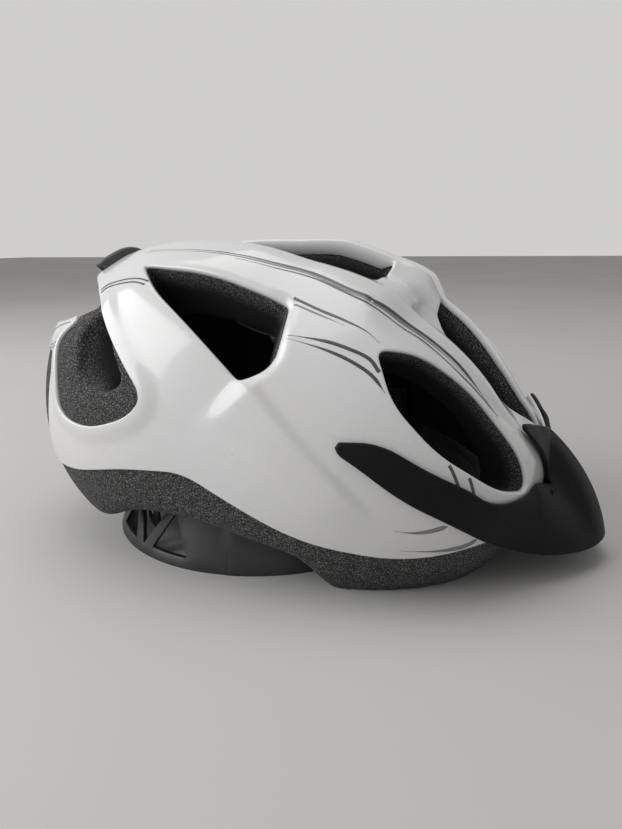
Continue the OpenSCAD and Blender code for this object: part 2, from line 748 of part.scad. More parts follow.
// Rack tooth that hangs from the band's back, square to its wall
module rack_tooth(at) {
    half = module_mm * PI / 4 - tooth_play / 2;
    sunk = 0.4 * module_mm;
    tip = half - tooth_up * tan(slant);
    foot = half + (tooth_down + sunk) * tan(slant);
    translate([ring_x, 0, dial_z + pitch_r]) rotate([0, 0, 180 + at]) rotate([90, 0, 90])
        translate([0, 0, band_in + band_wall / 8]) linear_extrude(band_wall * 3 / 4)
        polygon([[-tip, -tooth_up], [tip, -tooth_up], [foot, tooth_down + sunk], [-foot, tooth_down + sunk]]);
}

// One size band drawn for the wearer's left: a rack above the pinion and a wing along the cradle
module size_band() {
    foot = dial_z - pitch_r - 2;
    root = dial_z + pitch_r + tooth_down;
    top = root + band_back;
    rim = 4;
    rim_turn = 6;
    difference() {
        rear_arc(-wing_end, tail_past, foot, top);
        rear_arc(-wing_start, tail_past + cut, foot - cut, root, cut);
        rear_arc(-wing_end + rim_turn, -wing_start - rim_turn, foot + rim, top - rim, cut);
    }
    for (k = [-rack_teeth:rack_lead]) rack_tooth((k + 0.5) * tooth_step);
}

module size_band_left() color("#3a3a3d") size_band();

module size_band_right() color("#3a3a3d")
    translate([0, 0, dial_z]) rotate([180, 0, 0]) translate([0, 0, -dial_z]) size_band();

// Pads

module nape_pad() color("#2a2a2c") {
    half = housing_half - 1;
    h = housing_z - 1.5;
    out = housing_in - pad_gap;
    steps = 6;
    translate([ring_x, 0, dial_z]) rotate([0, 0, 180 - half]) rotate_extrude(angle = 2 * half, $fn = 96)
        polygon(concat([for (k = [-steps:steps])
                           let (s = k / steps) [out - pad_edge - (pad_t - pad_edge) * (1 - pow(s, 4)), h * s]],
                       [[out, h], [out, -h]]));
}

// Cushion on the foam's inner face between two turns and two rises
module head_pad(span, cols = 13, rows = 7) {
    function crown(t) = sqrt(1 - pow(2 * t - 1, 4));
    function at(i, j, grow) = head_point(span[0] + (span[1] - span[0]) * j / (cols - 1),
                                         span[2] + (span[3] - span[2]) * i / (rows - 1), grow);
    back = [for (i = [0:rows - 1]) for (j = [0:cols - 1]) at(i, j, -pad_gap)];
    face = [for (i = [0:rows - 1]) for (j = [0:cols - 1])
               let (swell = crown(i / (rows - 1)) * crown(j / (cols - 1)))
               at(i, j, -pad_gap - pad_edge - (pad_t - pad_edge) * swell)];
    on_table() slab(back, face, rows, cols);
}

module brow_pad() color("#2a2a2c") head_pad(brow_pad_span);

module crown_pads() color("#2a2a2c") both_sides() head_pad(crown_pad_span);

module side_pads() color("#2a2a2c") both_sides() head_pad(side_pad_span);

// Straps

module strap_anchors() color("#202022") {
    anchor_bars(2 * anchor_plug_r, anchor_plug);
    for (at = [front_anchor, rear_anchor])
        both_sides() translate([at.x, strap_side + web_t + pad_gap, at.y]) rotate([-90, 0, 0])
            linear_extrude(anchor_head.z) square([anchor_head.x, anchor_head.y], center = true);
}

// Flat strip of webbing along the helmet's side between two points of the side view
module side_strip(from, to) {
    run = to - from;
    translate([from.x, strap_side, from.y]) rotate([0, -atan2(run.y, run.x), 0])
        translate([0, 0, -web_w / 2]) cube([norm(run), web_t, web_w]);
}

module front_straps() color("#232325") both_sides()
    side_strip([strap_x + divider.x / 2 - divider_lap, strap_z],
               front_anchor + [anchor_head.x / 2 - anchor_lap, 0]);

module rear_straps() color("#232325") both_sides()
    side_strip(rear_anchor - [anchor_head.x / 2 - anchor_lap, 0],
               [strap_x - divider.x / 2 + divider_lap, strap_z]);

module strap_dividers() color("#202022") both_sides()
    translate([strap_x - divider.x / 2, strap_side - divider.z - pad_gap, strap_z - divider.y / 2])
        cube([divider.x, divider.z, divider.y]);

// Thick line through the points of a side view, drawn across the webbing's width
module ribbon(p) {
    last = len(p) - 1;
    function along(i) = let (v = p[min(i + 1, last)] - p[max(i - 1, 0)]) v / norm(v);
    side = [for (i = [0:last]) let (v = along(i)) p[i] + web_t / 2 * [-v.y, v.x]];
    back = [for (i = [last:-1:0]) let (v = along(i)) p[i] - web_t / 2 * [-v.y, v.x]];
    translate([strap_x - web_w / 2, 0, 0]) rotate([90, 0, 90]) linear_extrude(web_w)
        polygon(concat(side, back));
}

// Centre line of a chin strap from a side divider down to the buckle
function chin_line(end) =
    let (top = [strap_side - divider.z - pad_gap - web_t / 2 - glue_gap, strap_z],
         bend = [top.x - 2, strap_mid_z], lead = 26)
    concat([top], [for (k = [0:8]) let (s = k / 8, a = [bend.x, bend.y + lead], b = [bend.x - lead, bend.y])
                a * (1 - s) * (1 - s) + bend * 2 * s * (1 - s) + b * s * s], [[end, strap_mid_z]]);

module chin_strap_left() color("#232325") ribbon(chin_line(socket_y + socket_len - strap_grip));

module chin_strap_right() color("#232325") mirror([0, 1, 0]) ribbon(chin_line(-socket_y + plug_floor));

module buckle_block(from, to, w, t) {
    translate([strap_x - w / 2, from, strap_mid_z - t / 2]) cube([w, to - from, t]);
}

module buckle_socket() color("#1d1d1f") {
    release = [6, 9];
    release_at = 12;
    inside_t = buckle_t - 2 * socket_skin;
    back = socket_y + socket_len;
    difference() {
        buckle_block(socket_y, back, buckle_w, buckle_t);
        buckle_block(socket_y - cut, socket_y + prong_len + 1, buckle_w - 2 * socket_side, inside_t);
        for (side = [-1, 1])
            translate([strap_x + side * (buckle_w - socket_side) / 2, socket_y + release_at, strap_mid_z])
                cube([release.x, release.y, inside_t], center = true);
        buckle_block(back - strap_grip - buckle_gap, back + cut, slot_w, slot_t);
    }
}

module buckle_plug() color("#1d1d1f") {
    front = socket_y - buckle_gap;
    prong_in = web_w / 2 + prong_gap;
    prong_out = buckle_w / 2 - socket_side - buckle_gap;
    difference() {
        buckle_block(front - plug_len, front, buckle_w - 2, buckle_t - 1);
        buckle_block(front - plug_len - cut, front + cut, slot_w, slot_t);
    }
    for (side = [-1, 1])
        translate([strap_x + side * (prong_in + prong_out) / 2, front - cut, strap_mid_z - prong_t / 2])
            translate([(prong_in - prong_out) / 2, 0, 0])
            cube([prong_out - prong_in, prong_len + cut, prong_t]);
}

outer_shell();
foam_liner();
rear_trim();
visor();
visor_sockets();
temple_bosses();
cradle_frame();
pivot_pins();
dial_housing();
dial_cover();
cover_screws();
dial_knob();
dial_pinion();
size_band_left();
size_band_right();
nape_pad();
brow_pad();
crown_pads();
side_pads();
strap_anchors();
front_straps();
rear_straps();
strap_dividers();
chin_strap_left();
chin_strap_right();
buckle_socket();
buckle_plug();
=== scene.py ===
"""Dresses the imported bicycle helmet: its shell, foam, visor, cradle, pads and straps, and their finishes."""

import logging
import math
from dataclasses import dataclass, field, replace
from enum import Enum
from typing import Callable, Sequence

import bpy
import numpy as np
from mathutils import Matrix, Vector


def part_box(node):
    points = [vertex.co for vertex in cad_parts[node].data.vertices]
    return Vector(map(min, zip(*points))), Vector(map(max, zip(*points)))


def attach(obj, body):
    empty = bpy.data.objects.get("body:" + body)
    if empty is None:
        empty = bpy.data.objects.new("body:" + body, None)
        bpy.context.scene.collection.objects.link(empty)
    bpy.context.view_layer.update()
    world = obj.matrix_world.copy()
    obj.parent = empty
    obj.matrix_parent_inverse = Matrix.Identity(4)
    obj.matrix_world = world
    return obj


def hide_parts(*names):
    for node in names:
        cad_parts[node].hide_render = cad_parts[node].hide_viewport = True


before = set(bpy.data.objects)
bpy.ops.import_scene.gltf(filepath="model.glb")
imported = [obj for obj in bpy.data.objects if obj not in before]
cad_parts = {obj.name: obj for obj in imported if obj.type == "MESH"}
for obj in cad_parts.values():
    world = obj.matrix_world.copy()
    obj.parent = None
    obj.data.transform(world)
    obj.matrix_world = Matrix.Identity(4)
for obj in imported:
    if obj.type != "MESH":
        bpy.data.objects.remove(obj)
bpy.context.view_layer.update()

Array = np.ndarray
Faces = list[list[int]]
Pair = tuple[float, float]
Spot = tuple[float, float, float]
Path = tuple[Pair, ...]

# A millimetre in metres, and a distance in millimetres past every edge
MM = 0.001
FAR = 99.0
log = logging.getLogger("helmet")


class Body(Enum):
    """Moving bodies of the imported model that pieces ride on."""

    HELMET = "helmet"
    VISOR = "visor"
    CRADLE = "cradle"


class Side(Enum):
    """Where a vent is cut: once on the middle plane, or on both sides."""

    MIDDLE = 0
    BOTH = 1


# Curves and distances

def smooth(t: Array) -> Array:
    """Soft step from 0 to 1 while t goes from 0 to 1."""
    s = np.clip(t, 0, 1)
    return s * s * (3 - 2 * s)


def soft_max(a: Array, b: Array, width: float) -> Array:
    """Larger of two fields, with the corner between them rounded over a width."""
    overlap = np.maximum(width - np.abs(a - b), 0) / width
    return np.maximum(a, b) + overlap * overlap * width / 4


def through(points: Sequence[Sequence[float]], count: int) -> Array:
    """Samples a smooth curve that passes through every given point.

    Args:
        points: the curve's points, in order.
        count: how many samples to take.

    Returns:
        The samples, one row each.
    """
    p = np.asarray(points, float)
    p = np.vstack([2 * p[0] - p[1], p, 2 * p[-1] - p[-2]])
    u = np.linspace(0, len(p) - 3, count)
    i = np.minimum(u.astype(int), len(p) - 4)
    t = (u - i)[:, None]
    a, b, c, d = p[i], p[i + 1], p[i + 2], p[i + 3]
    return 0.5 * (2 * b + (c - a) * t + (2 * a - 5 * b + 4 * c - d) * t ** 2
                  + (3 * b - a - 3 * c + d) * t ** 3)


def toward(turn: Array, rise: Array) -> Array:
    """Unit directions from the dome's centre, from degrees of turn and rise."""
    turn, rise = np.radians(turn), np.radians(rise)
    return np.stack([np.cos(rise) * np.cos(turn), np.cos(rise) * np.sin(turn), np.sin(rise)], -1)


def beside_line(line: tuple[Pair, Pair], x: Array, y: Array) -> tuple[Array, Array, float]:
    """Distances of flat points along a straight line and to its left, and the line's length."""
    (ax, ay), (bx, by) = line
    length = math.hypot(bx - ax, by - ay)
    along = ((x - ax) * (bx - ax) + (y - ay) * (by - ay)) / length
    left = ((y - ay) * (bx - ax) - (x - ax) * (by - ay)) / length
    return along, left, length


@dataclass(frozen=True)
class Outline:
    """Closed or open line whose corners are [across, up, reach of the rounding]."""

    corners: tuple[Spot, ...]
    closed: bool = True
    steps: int = 6

    @classmethod
    def two_sided(cls, *half: Spot) -> "Outline":
        """Closed line from the corners of one side, with the other side mirrored across the middle."""
        return cls((*half, *((-x, y, reach) for x, y, reach in reversed(half) if x)))

    def points(self) -> Array:
        """Points of the line with its corners rounded off."""
        made = []
        count = len(self.corners)
        for i, (x, y, reach) in enumerate(self.corners):
            at = np.array([x, y])
            if not self.closed and i in (0, count - 1):
                made.append(at)
                continue
            to_last = np.array(self.corners[i - 1][:2]) - at
            to_next = np.array(self.corners[(i + 1) % count][:2]) - at
            start = at + to_last * min(reach / np.linalg.norm(to_last), 0.48)
            end = at + to_next * min(reach / np.linalg.norm(to_next), 0.48)
            for s in np.linspace(0, 1, self.steps):
                made.append(start * (1 - s) ** 2 + at * 2 * s * (1 - s) + end * s * s)
        return np.array(made)

    def gap(self, spots: Array) -> Array:
        """Distance from each spot to the line, without a sign."""
        line = self.points()
        ends = np.roll(line, -1, 0) if self.closed else line[1:]
        best = np.full(len(spots), np.inf)
        for p, q in zip(line, ends):
            run = q - p
            t = np.clip(((spots - p) @ run) / max(run @ run, 1e-12), 0, 1)
            away = spots - p - t[:, None] * run
            best = np.minimum(best, (away * away).sum(1))
        return np.sqrt(best)

    def distance(self, spots: Array) -> Array:
        """Distance from each spot to a closed line, negative inside it."""
        line = self.points()
        inside = np.zeros(len(spots), bool)
        for p, q in zip(line, np.roll(line, -1, 0)):
            if p[1] == q[1]:
                continue
            crosses = (spots[:, 1] < p[1]) != (spots[:, 1] < q[1])
            at = p[0] + (spots[:, 1] - p[1]) * (q[0] - p[0]) / (q[1] - p[1])
            inside ^= crosses & (spots[:, 0] < at)
        return np.where(inside, -1, 1) * self.gap(spots)


@dataclass(frozen=True)
class Vent:
    """Prism cut through the dome as it faces, narrowing inward, with a bar left along the middle plane."""

    turn: float
    tilt: float
    level: float
    draft: float
    outline: Outline
    side: Side = Side.BOTH
    bar: float = 0.0
    bar_round: float = 3.0
    deepest: float = 40.0

    def flat(self, p: Array) -> tuple[Array, Array, Array]:
        """Across, up and out coordinates of points in the vent's own plane."""
        y = -np.abs(p[:, 1]) if self.side is Side.BOTH else p[:, 1]
        a, e = math.radians(self.turn), math.radians(self.tilt)
        back = -p[:, 0] * math.sin(a) + y * math.cos(a)
        across = p[:, 0] * math.cos(a) + y * math.sin(a)
        return across, back * math.sin(e) + p[:, 2] * math.cos(e), p[:, 2] * math.sin(e) - back * math.cos(e)

    def distance(self, p: Array) -> Array:
        """Distance of points from the vent's wall, negative inside the vent."""
        across, up, out = self.flat(p)
        line = self.outline.points()
        middle = (line.min(0) + line.max(0)) / 2
        grow = 1 + (out - self.level) * self.draft
        spots = (np.column_stack([across, up]) - middle) / grow[:, None] + middle
        made = np.maximum(self.outline.distance(spots) * grow, self.deepest - out)
        return soft_max(made, self.bar - np.abs(p[:, 1]), self.bar_round) if self.bar else made


@dataclass(frozen=True)
class RoundForm:
    """Rounded form given by its reach from the dome's centre in each direction, in millimetres."""

    front: float
    rear: float
    half: float
    up: float
    down: float
    rise_front: float
    rise_rear: float
    rise_blend: float = 0.4
    plan_square: float = 2.57

    def reach(self, d: Array) -> Array:
        """Distance from the centre to the surface along unit directions."""
        a = np.where(d[:, 0] > 0, self.front, self.rear)
        h = np.where(d[:, 2] > 0, self.up, self.down)
        level = np.hypot(d[:, 0], d[:, 1]) + 1e-6
        m = self.rise_front + (self.rise_rear - self.rise_front) * smooth(self.rise_blend - d[:, 0] / level)
        n = self.plan_square
        plan = (np.abs(d[:, 0]) / a) ** n + (np.abs(d[:, 1]) / self.half) ** n
        return (plan ** (m / n) + (np.abs(d[:, 2]) / h) ** m) ** (-1 / m)


@dataclass(frozen=True)
class Stance:
    """How the level dome stands over the table, with its nose tipped down."""

    back: float = 15.7
    lift: float = 62.8
    nose_down: float = 10.8

    def to_table(self, p: Array) -> Array:
        """Points of the level dome as they stand over the table, in millimetres."""
        c, s = math.cos(math.radians(self.nose_down)), math.sin(math.radians(self.nose_down))
        return np.column_stack([p[:, 0] * c + p[:, 2] * s - self.back, p[:, 1],
                                p[:, 2] * c - p[:, 0] * s + self.lift])


@dataclass(frozen=True)
class HelmetForm:
    """Sculpted form that the shell, the foam and the stripes share."""

    stance: Stance = Stance()
    dome: RoundForm = RoundForm(
        front=145.5, rear=142.5, half=104.5, up=100.3, down=100, rise_front=1.93, rise_rear=2.24)
    head: RoundForm = RoundForm(
        front=118.5, rear=114.5, half=80, up=72.3, down=160, rise_front=2, rise_rear=2.1)
    skin: float = 1.3

    # Channel between the two ridges, and how far the ridges fall toward the brow
    channel_depth: float = 8
    channel_floor: float = 20
    channel_bank: float = 22
    channel_fade: Pair = (28, 30)
    brow_fall: float = 5
    fall_angles: Pair = (8, 60)
    fall_ends: float = 14
    fall_sides: Pair = (8, 70)
    fall_banks: Pair = (14, 25)

    # Vents through the shell and the foam
    side_vent: Vent = Vent(turn=0, tilt=45, level=100, draft=0.011, outline=Outline((
        (-68, 9, 3), (-27, 9, 14), (15, 5, 4), (21, -27, 7), (10, -40, 4), (-50, -7, 10))))
    brow_vent: Vent = Vent(turn=45, tilt=28, level=121, draft=0.007, outline=Outline((
        (-10, 15, 7), (12, 11, 9), (38, -8, 16), (60, -36, 12), (67, -52, 7), (44, -51, 12),
        (12, -34, 12), (-6, -12, 10))))
    leaf_vent: Vent = Vent(
        turn=90, tilt=40, level=120, draft=0.006, side=Side.MIDDLE, bar=4.5, outline=Outline.two_sided(
            (0, 30, 5), (20, 3, 16), (27, -22, 16), (20, -50, 14), (0, -69, 10)))
    top_vent: Vent = Vent(
        turn=90, tilt=84, level=92, draft=0.004, side=Side.MIDDLE, bar=7, outline=Outline.two_sided(
            (29, -33, 6), (24, 4, 20), (13, 58, 9)))
    tail_vent: Vent = Vent(
        turn=-90, tilt=28, level=120, draft=0.006, side=Side.MIDDLE, outline=Outline.two_sided(
            (20, 14, 9), (27, -8, 9), (0, -16, 14)))

    # Rear scoop in the shell, the hollow in its foam and the slot at the hollow's bottom
    scoop: Vent = Vent(turn=-35, tilt=12, level=117, draft=0, outline=Outline((
        (-34, 37, 4), (-14, 29, 8), (8, 16, 14), (30, 1, 8), (24, -12, 10), (2, -27, 12),
        (-22, -29, 12), (-29, -12, 14), (-40, 4, 10), (-28, 22, 10))))
    hollow: Vent = replace(scoop, outline=Outline((
        (-17, 27, 3), (-21, 13, 8), (-14, -3, 8), (-2, -8, 8), (9, -5, 4), (14, 3, 3), (-6, 23, 4))))
    slot: Vent = replace(scoop, outline=Outline((
        (-15, 27, 2), (-5, 22, 4), (14, 5, 3), (14, 1, 3), (6, -5, 4), (-10, 20, 4))))

    # Fin and bridge along the middle: angles up from the brow with heights over the dome, then half widths
    fin_crest: Path = (
        (130, -10), (119, -7.5), (115.7, -5.8), (96.4, -2.1), (80.6, 3.4), (65, 4.2), (59.5, 5.3), (55.3, 5),
        (48.8, -2.3), (40.2, -2.9), (32.6, -4.6), (28.5, -5.5), (22, -5.6), (15, -4))
    fin_half: Pair = (6.5, 5)
    fin_side: float = 5.5
    fin_beside: float = 2
    fin_fade: float = 5
    bridge_crest: Path = (
        (66.8, -12), (66.2, -6.5), (64, -5.2), (57.6, -4.4), (55.5, -4.8), (50, -9))
    bridge_half: Pair = (20, 12)
    crest_blur: tuple[float, ...] = (-1.2, -0.6, 0, 0.6, 1.2)

    # Rear notch, the shell's tail, the trim over the notch, and the lower edges
    rear_notch: Outline = Outline((
        (-82, 53, 2), (-100, 42.5, 6), (-122, 33.5, 6), (-165, 24, 1), (-165, 72, 1), (-112, 68, 3),
        (-101, 63.5, 3), (-89, 61, 4), (-83, 57, 3)))
    shell_tail: Pair = (-106, 23)
    tail_round: float = 5
    trim: Outline = Outline.two_sided(
        (34, -92, 6), (44, -96, 6), (52, -99.5, 3), (54, -104, 3), (40, -112, 8), (0, -114, 14))
    trim_proud: float = 4.7
    shell_edge: Outline = Outline((
        (-170, -28, 1), (-118, -40, 14), (-84, -33, 16), (-44, -15.5, 14), (-10, -6, 10), (48, -23, 18),
        (96, -23, 18), (140, -7, 10), (170, -2, 1)), closed=False)
    foam_edge: Outline = Outline((
        (-170, -22, 1), (-122, -31, 14), (-98, -60, 10), (-74, -67, 10), (-40, -40, 16), (-6, -33, 16),
        (48, -37, 8), (66, -60, 6), (170, -60, 1)), closed=False)

    # Lip around the scoop, bevel along the side vent, fold below it and groove along the ridge
    lip_height: float = 1.5
    lip_run: Pair = (2, 10)
    bevel_depth: float = 1.4
    bevel_front: float = 1.2
    bevel_turn: Pair = (2, 14)
    bevel_width: float = 4.4
    bevel_fade: float = 12
    strut_line: tuple[Pair, Pair] = ((-68, 9), (10, -40))
    step_height: float = 2.4
    step_line: tuple[Pair, Pair] = ((14, 42), (86, -6))
    step_ramp: float = 4
    step_fade: float = 40
    step_start: Pair = (-8, 4)
    step_end: float = 30
    step_sides: Pair = (50, 70)
    groove_depth: float = 1.3
    groove_half: float = 4.5
    groove: Outline = Outline(((50, 51, 1), (83, 50, 20), (104, 47, 12), (124, 40, 1)), closed=False)

    # Place of the visor's pegs
    peg_side: float = 28
    peg_z: float = 6

    @property
    def vents(self) -> tuple[Vent, ...]:
        """The vents that go through both the shell and the foam."""
        return self.side_vent, self.brow_vent, self.leaf_vent, self.top_vent, self.tail_vent

    def base_reach(self, d: Array) -> Array:
        """Reach of the plain dome with the channel between its two ridges."""
        r = self.dome.reach(d)
        p = d * r[:, None]
        dip = 1 - smooth((np.abs(p[:, 1]) - self.channel_floor) / self.channel_bank)
        ends = (smooth((self.dome.front - p[:, 0]) / self.channel_fade[0])
                * smooth((p[:, 0] + self.dome.rear) / self.channel_fade[1]))
        return r - np.where(p[:, 2] < 0, 0, self.channel_depth * dip * ends) - self.ridge_fall(p)

    def ridge_fall(self, p: Array) -> Array:
        """How far the two ridges fall away from the plain dome toward the brow."""
        angle = np.degrees(np.arctan2(p[:, 2], p[:, 0]))
        low, high = self.fall_angles
        inner, outer = self.fall_sides
        inner_bank, outer_bank = self.fall_banks
        along = smooth((angle - low) / self.fall_ends) * smooth((high - angle) / self.fall_ends)
        side = np.abs(p[:, 1])
        across = smooth((side - inner) / inner_bank) * smooth((outer - side) / outer_bank)
        return self.brow_fall * along * across

    def crest_rise(self, p: Array, crest: Path, half: Pair) -> Array:
        """Height of a crest along the middle plane over the channel.

        Args:
            p: points of the plain dome.
            crest: angles up from the brow, each with the crest's height over the dome without its channel.
            half: half width of the crest's flat top and the width of its bank.

        Returns:
            The height at each point, outward from the dome's centre.
        """
        r = np.linalg.norm(p, axis=1)
        level = np.hypot(p[:, 0], p[:, 2]) + 1e-9
        angle = np.degrees(np.arctan2(p[:, 2], p[:, 0]))
        angles, heights = np.array(crest[::-1]).T
        height = sum(np.interp(angle + a, angles, heights, left=-FAR, right=-FAR) for a in self.crest_blur)
        height = height / len(self.crest_blur)
        middle = np.column_stack([p[:, 0] / level, np.zeros(len(p)), p[:, 2] / level])
        up = (self.dome.reach(middle) + height) * r / level - r
        return np.maximum(up, 0) * (1 - smooth((np.abs(p[:, 1]) - half[0]) / half[1]))

    def lip(self, p: Array) -> Array:
        """Height of the lip around the scoops, which ends at the rear notch."""
        start, end = self.lip_run
        height = self.lip_height * smooth((end - self.scoop.distance(p)) / (end - start))
        return height * smooth(self.rear_notch.distance(p[:, [0, 2]]) / end)

    def bevel(self, p: Array) -> Array:
        """Depth of the bevel along the side vent's upper edge, which grows toward the front."""
        across, up, _ = self.side_vent.flat(p)
        _, over, _ = beside_line(self.strut_line, across, up)
        ramp = np.clip(1 - self.side_vent.distance(p) / self.bevel_width, 0, 1)
        start, end = self.bevel_turn
        deep = self.bevel_depth + self.bevel_front * smooth((across - start) / (end - start))
        return deep * ramp * smooth(over / self.bevel_fade)

    def step(self, p: Array) -> Array:
        """Height of the fold that runs down the side from the side vent toward the brow."""
        along, above, length = beside_line(self.step_line, p[:, 0], p[:, 2])
        height = smooth(0.5 - above / self.step_ramp) * (1 - smooth(-above / self.step_fade))
        start, end = self.step_start
        ends = smooth((along - start) / (end - start)) * smooth((length - along) / self.step_end)
        inner, outer = self.step_sides
        return self.step_height * height * ends * smooth((np.abs(p[:, 1]) - inner) / (outer - inner))

    def relief(self, p: Array) -> Array:
        """Height of the moulded lips, bevels, folds and crests over the plain dome."""
        plan = np.column_stack([p[:, 0], np.abs(p[:, 1])])
        groove = self.groove_depth * (1 - smooth(self.groove.gap(plan) / self.groove_half)) * (p[:, 2] > 0)
        crests = np.maximum(self.crest_rise(p, self.fin_crest, self.fin_half),
                            self.crest_rise(p, self.bridge_crest, self.bridge_half))
        return self.lip(p) - self.bevel(p) + self.step(p) - groove + crests

    def reach(self, d: Array) -> Array:
        """Reach of the sculpted outer surface."""
        r = self.base_reach(d)
        return r + self.relief(d * r[:, None])

    def over_edge(self, edge: Outline, p: Array) -> Array:
        """Height of points over a lower edge line, square to the line."""
        line = edge.points()
        level = np.interp(p[:, 0], line[:, 0], line[:, 1])
        return np.where(p[:, 2] > level, 1, -1) * edge.gap(p[:, [0, 2]])

    def trim_distance(self, p: Array) -> Array:
        """Distance of points from the rear trim's outline in plan, negative under the trim."""
        return np.where(p[:, 2] > 0, self.trim.distance(p[:, [1, 0]]), FAR)

    def shell_margins(self, d: Array) -> Array:
        """Distances of the shell's surface from each of its edges, one column for each edge."""
        p = d * self.base_reach(d)[:, None]
        cuts = [vent.distance(p) for vent in (*self.vents, self.scoop)]
        tail = soft_max(p[:, 0] - self.shell_tail[0], p[:, 2] - self.shell_tail[1], self.tail_round)
        edges = [self.trim_distance(p), self.over_edge(self.shell_edge, p),
                 self.rear_notch.distance(p[:, [0, 2]]), tail]
        return np.column_stack(cuts + edges)

    def shell_wrap(self, d: Array) -> Array:
        """How much further down the shell goes on the fin's sides than along its other edges."""
        p = d * self.base_reach(d)[:, None]
        beside = smooth(self.top_vent.bar + self.fin_beside - np.abs(p[:, 1]))
        within = -replace(self.top_vent, bar=0.0).distance(p)
        return self.fin_side * beside * smooth(within / self.fin_fade)

    def trim_reach(self, d: Array) -> Array:
        """Reach of the rear trim's outer face."""
        return self.base_reach(d) + self.trim_proud

    def trim_margins(self, d: Array) -> Array:
        """Distances of the trim's surface from its own outline and from the notch below it."""
        p = d * self.trim_reach(d)[:, None]
        return np.column_stack([-self.trim_distance(p), self.rear_notch.distance(p[:, [0, 2]])])


# Meshes

@dataclass
class Mesh:
    """Points in millimetres and faces of one piece before it goes into the scene."""

    points: Array
    faces: Faces

    def mirrored(self) -> "Mesh":
        """The same mesh on the other side of the middle plane, joined with this one."""
        count = len(self.points)
        other = self.points * np.array([1, -1, 1])
        flipped = [[i + count for i in reversed(f)] for f in self.faces]
        return Mesh(np.vstack([self.points, other]), self.faces + flipped)

    def to_scene(self, name: str) -> bpy.types.Object:
        """Makes a smooth-shaded object of the mesh, in metres."""
        data = bpy.data.meshes.new(name)
        data.from_pydata((self.points * MM).tolist(), [], self.faces)
        data.validate()
        data.polygons.foreach_set("use_smooth", np.ones(len(data.polygons), bool))
        made = bpy.data.objects.new(name, data)
        bpy.context.scene.collection.objects.link(made)
        return made

    def on_table(self, stance: Stance, name: str) -> bpy.types.Object:
        """Makes an object of a mesh of the level dome, as it stands over the table."""
        return Mesh(stance.to_table(self.points), self.faces).to_scene(name)


def closed_slab(outer: Array, inner: Array) -> Mesh:
    """Closed mesh between two grids of points of the same size, outer face first.

    Args:
        outer: grid of points, rows by columns by three.
        inner: the grid behind it.

    Returns:
        The mesh, with its border closed.
    """
    rows, cols = outer.shape[:2]
    count = rows * cols
    ids = np.arange(count).reshape(rows, cols)
    front = np.stack([ids[:-1, :-1], ids[1:, :-1], ids[1:, 1:], ids[:-1, 1:]], -1).reshape(-1, 4)
    back = front[:, ::-1] + count
    ring = np.concatenate([ids[0, :], ids[1:, -1], ids[-1, -2::-1], ids[-2:0:-1, 0]])
    after = np.roll(ring, -1)
    rim = np.stack([ring, after, after + count, ring + count], -1)
    points = np.vstack([outer.reshape(-1, 3), inner.reshape(-1, 3)])
    return Mesh(points, np.vstack([front, back, rim]).tolist())


def add_modifier(piece: bpy.types.Object, kind: str, **settings: object) -> None:
    """Adds a modifier to a piece and sets its values."""
    made = piece.modifiers.new(kind.title(), kind)
    for key, value in settings.items():
        setattr(made, key, value)


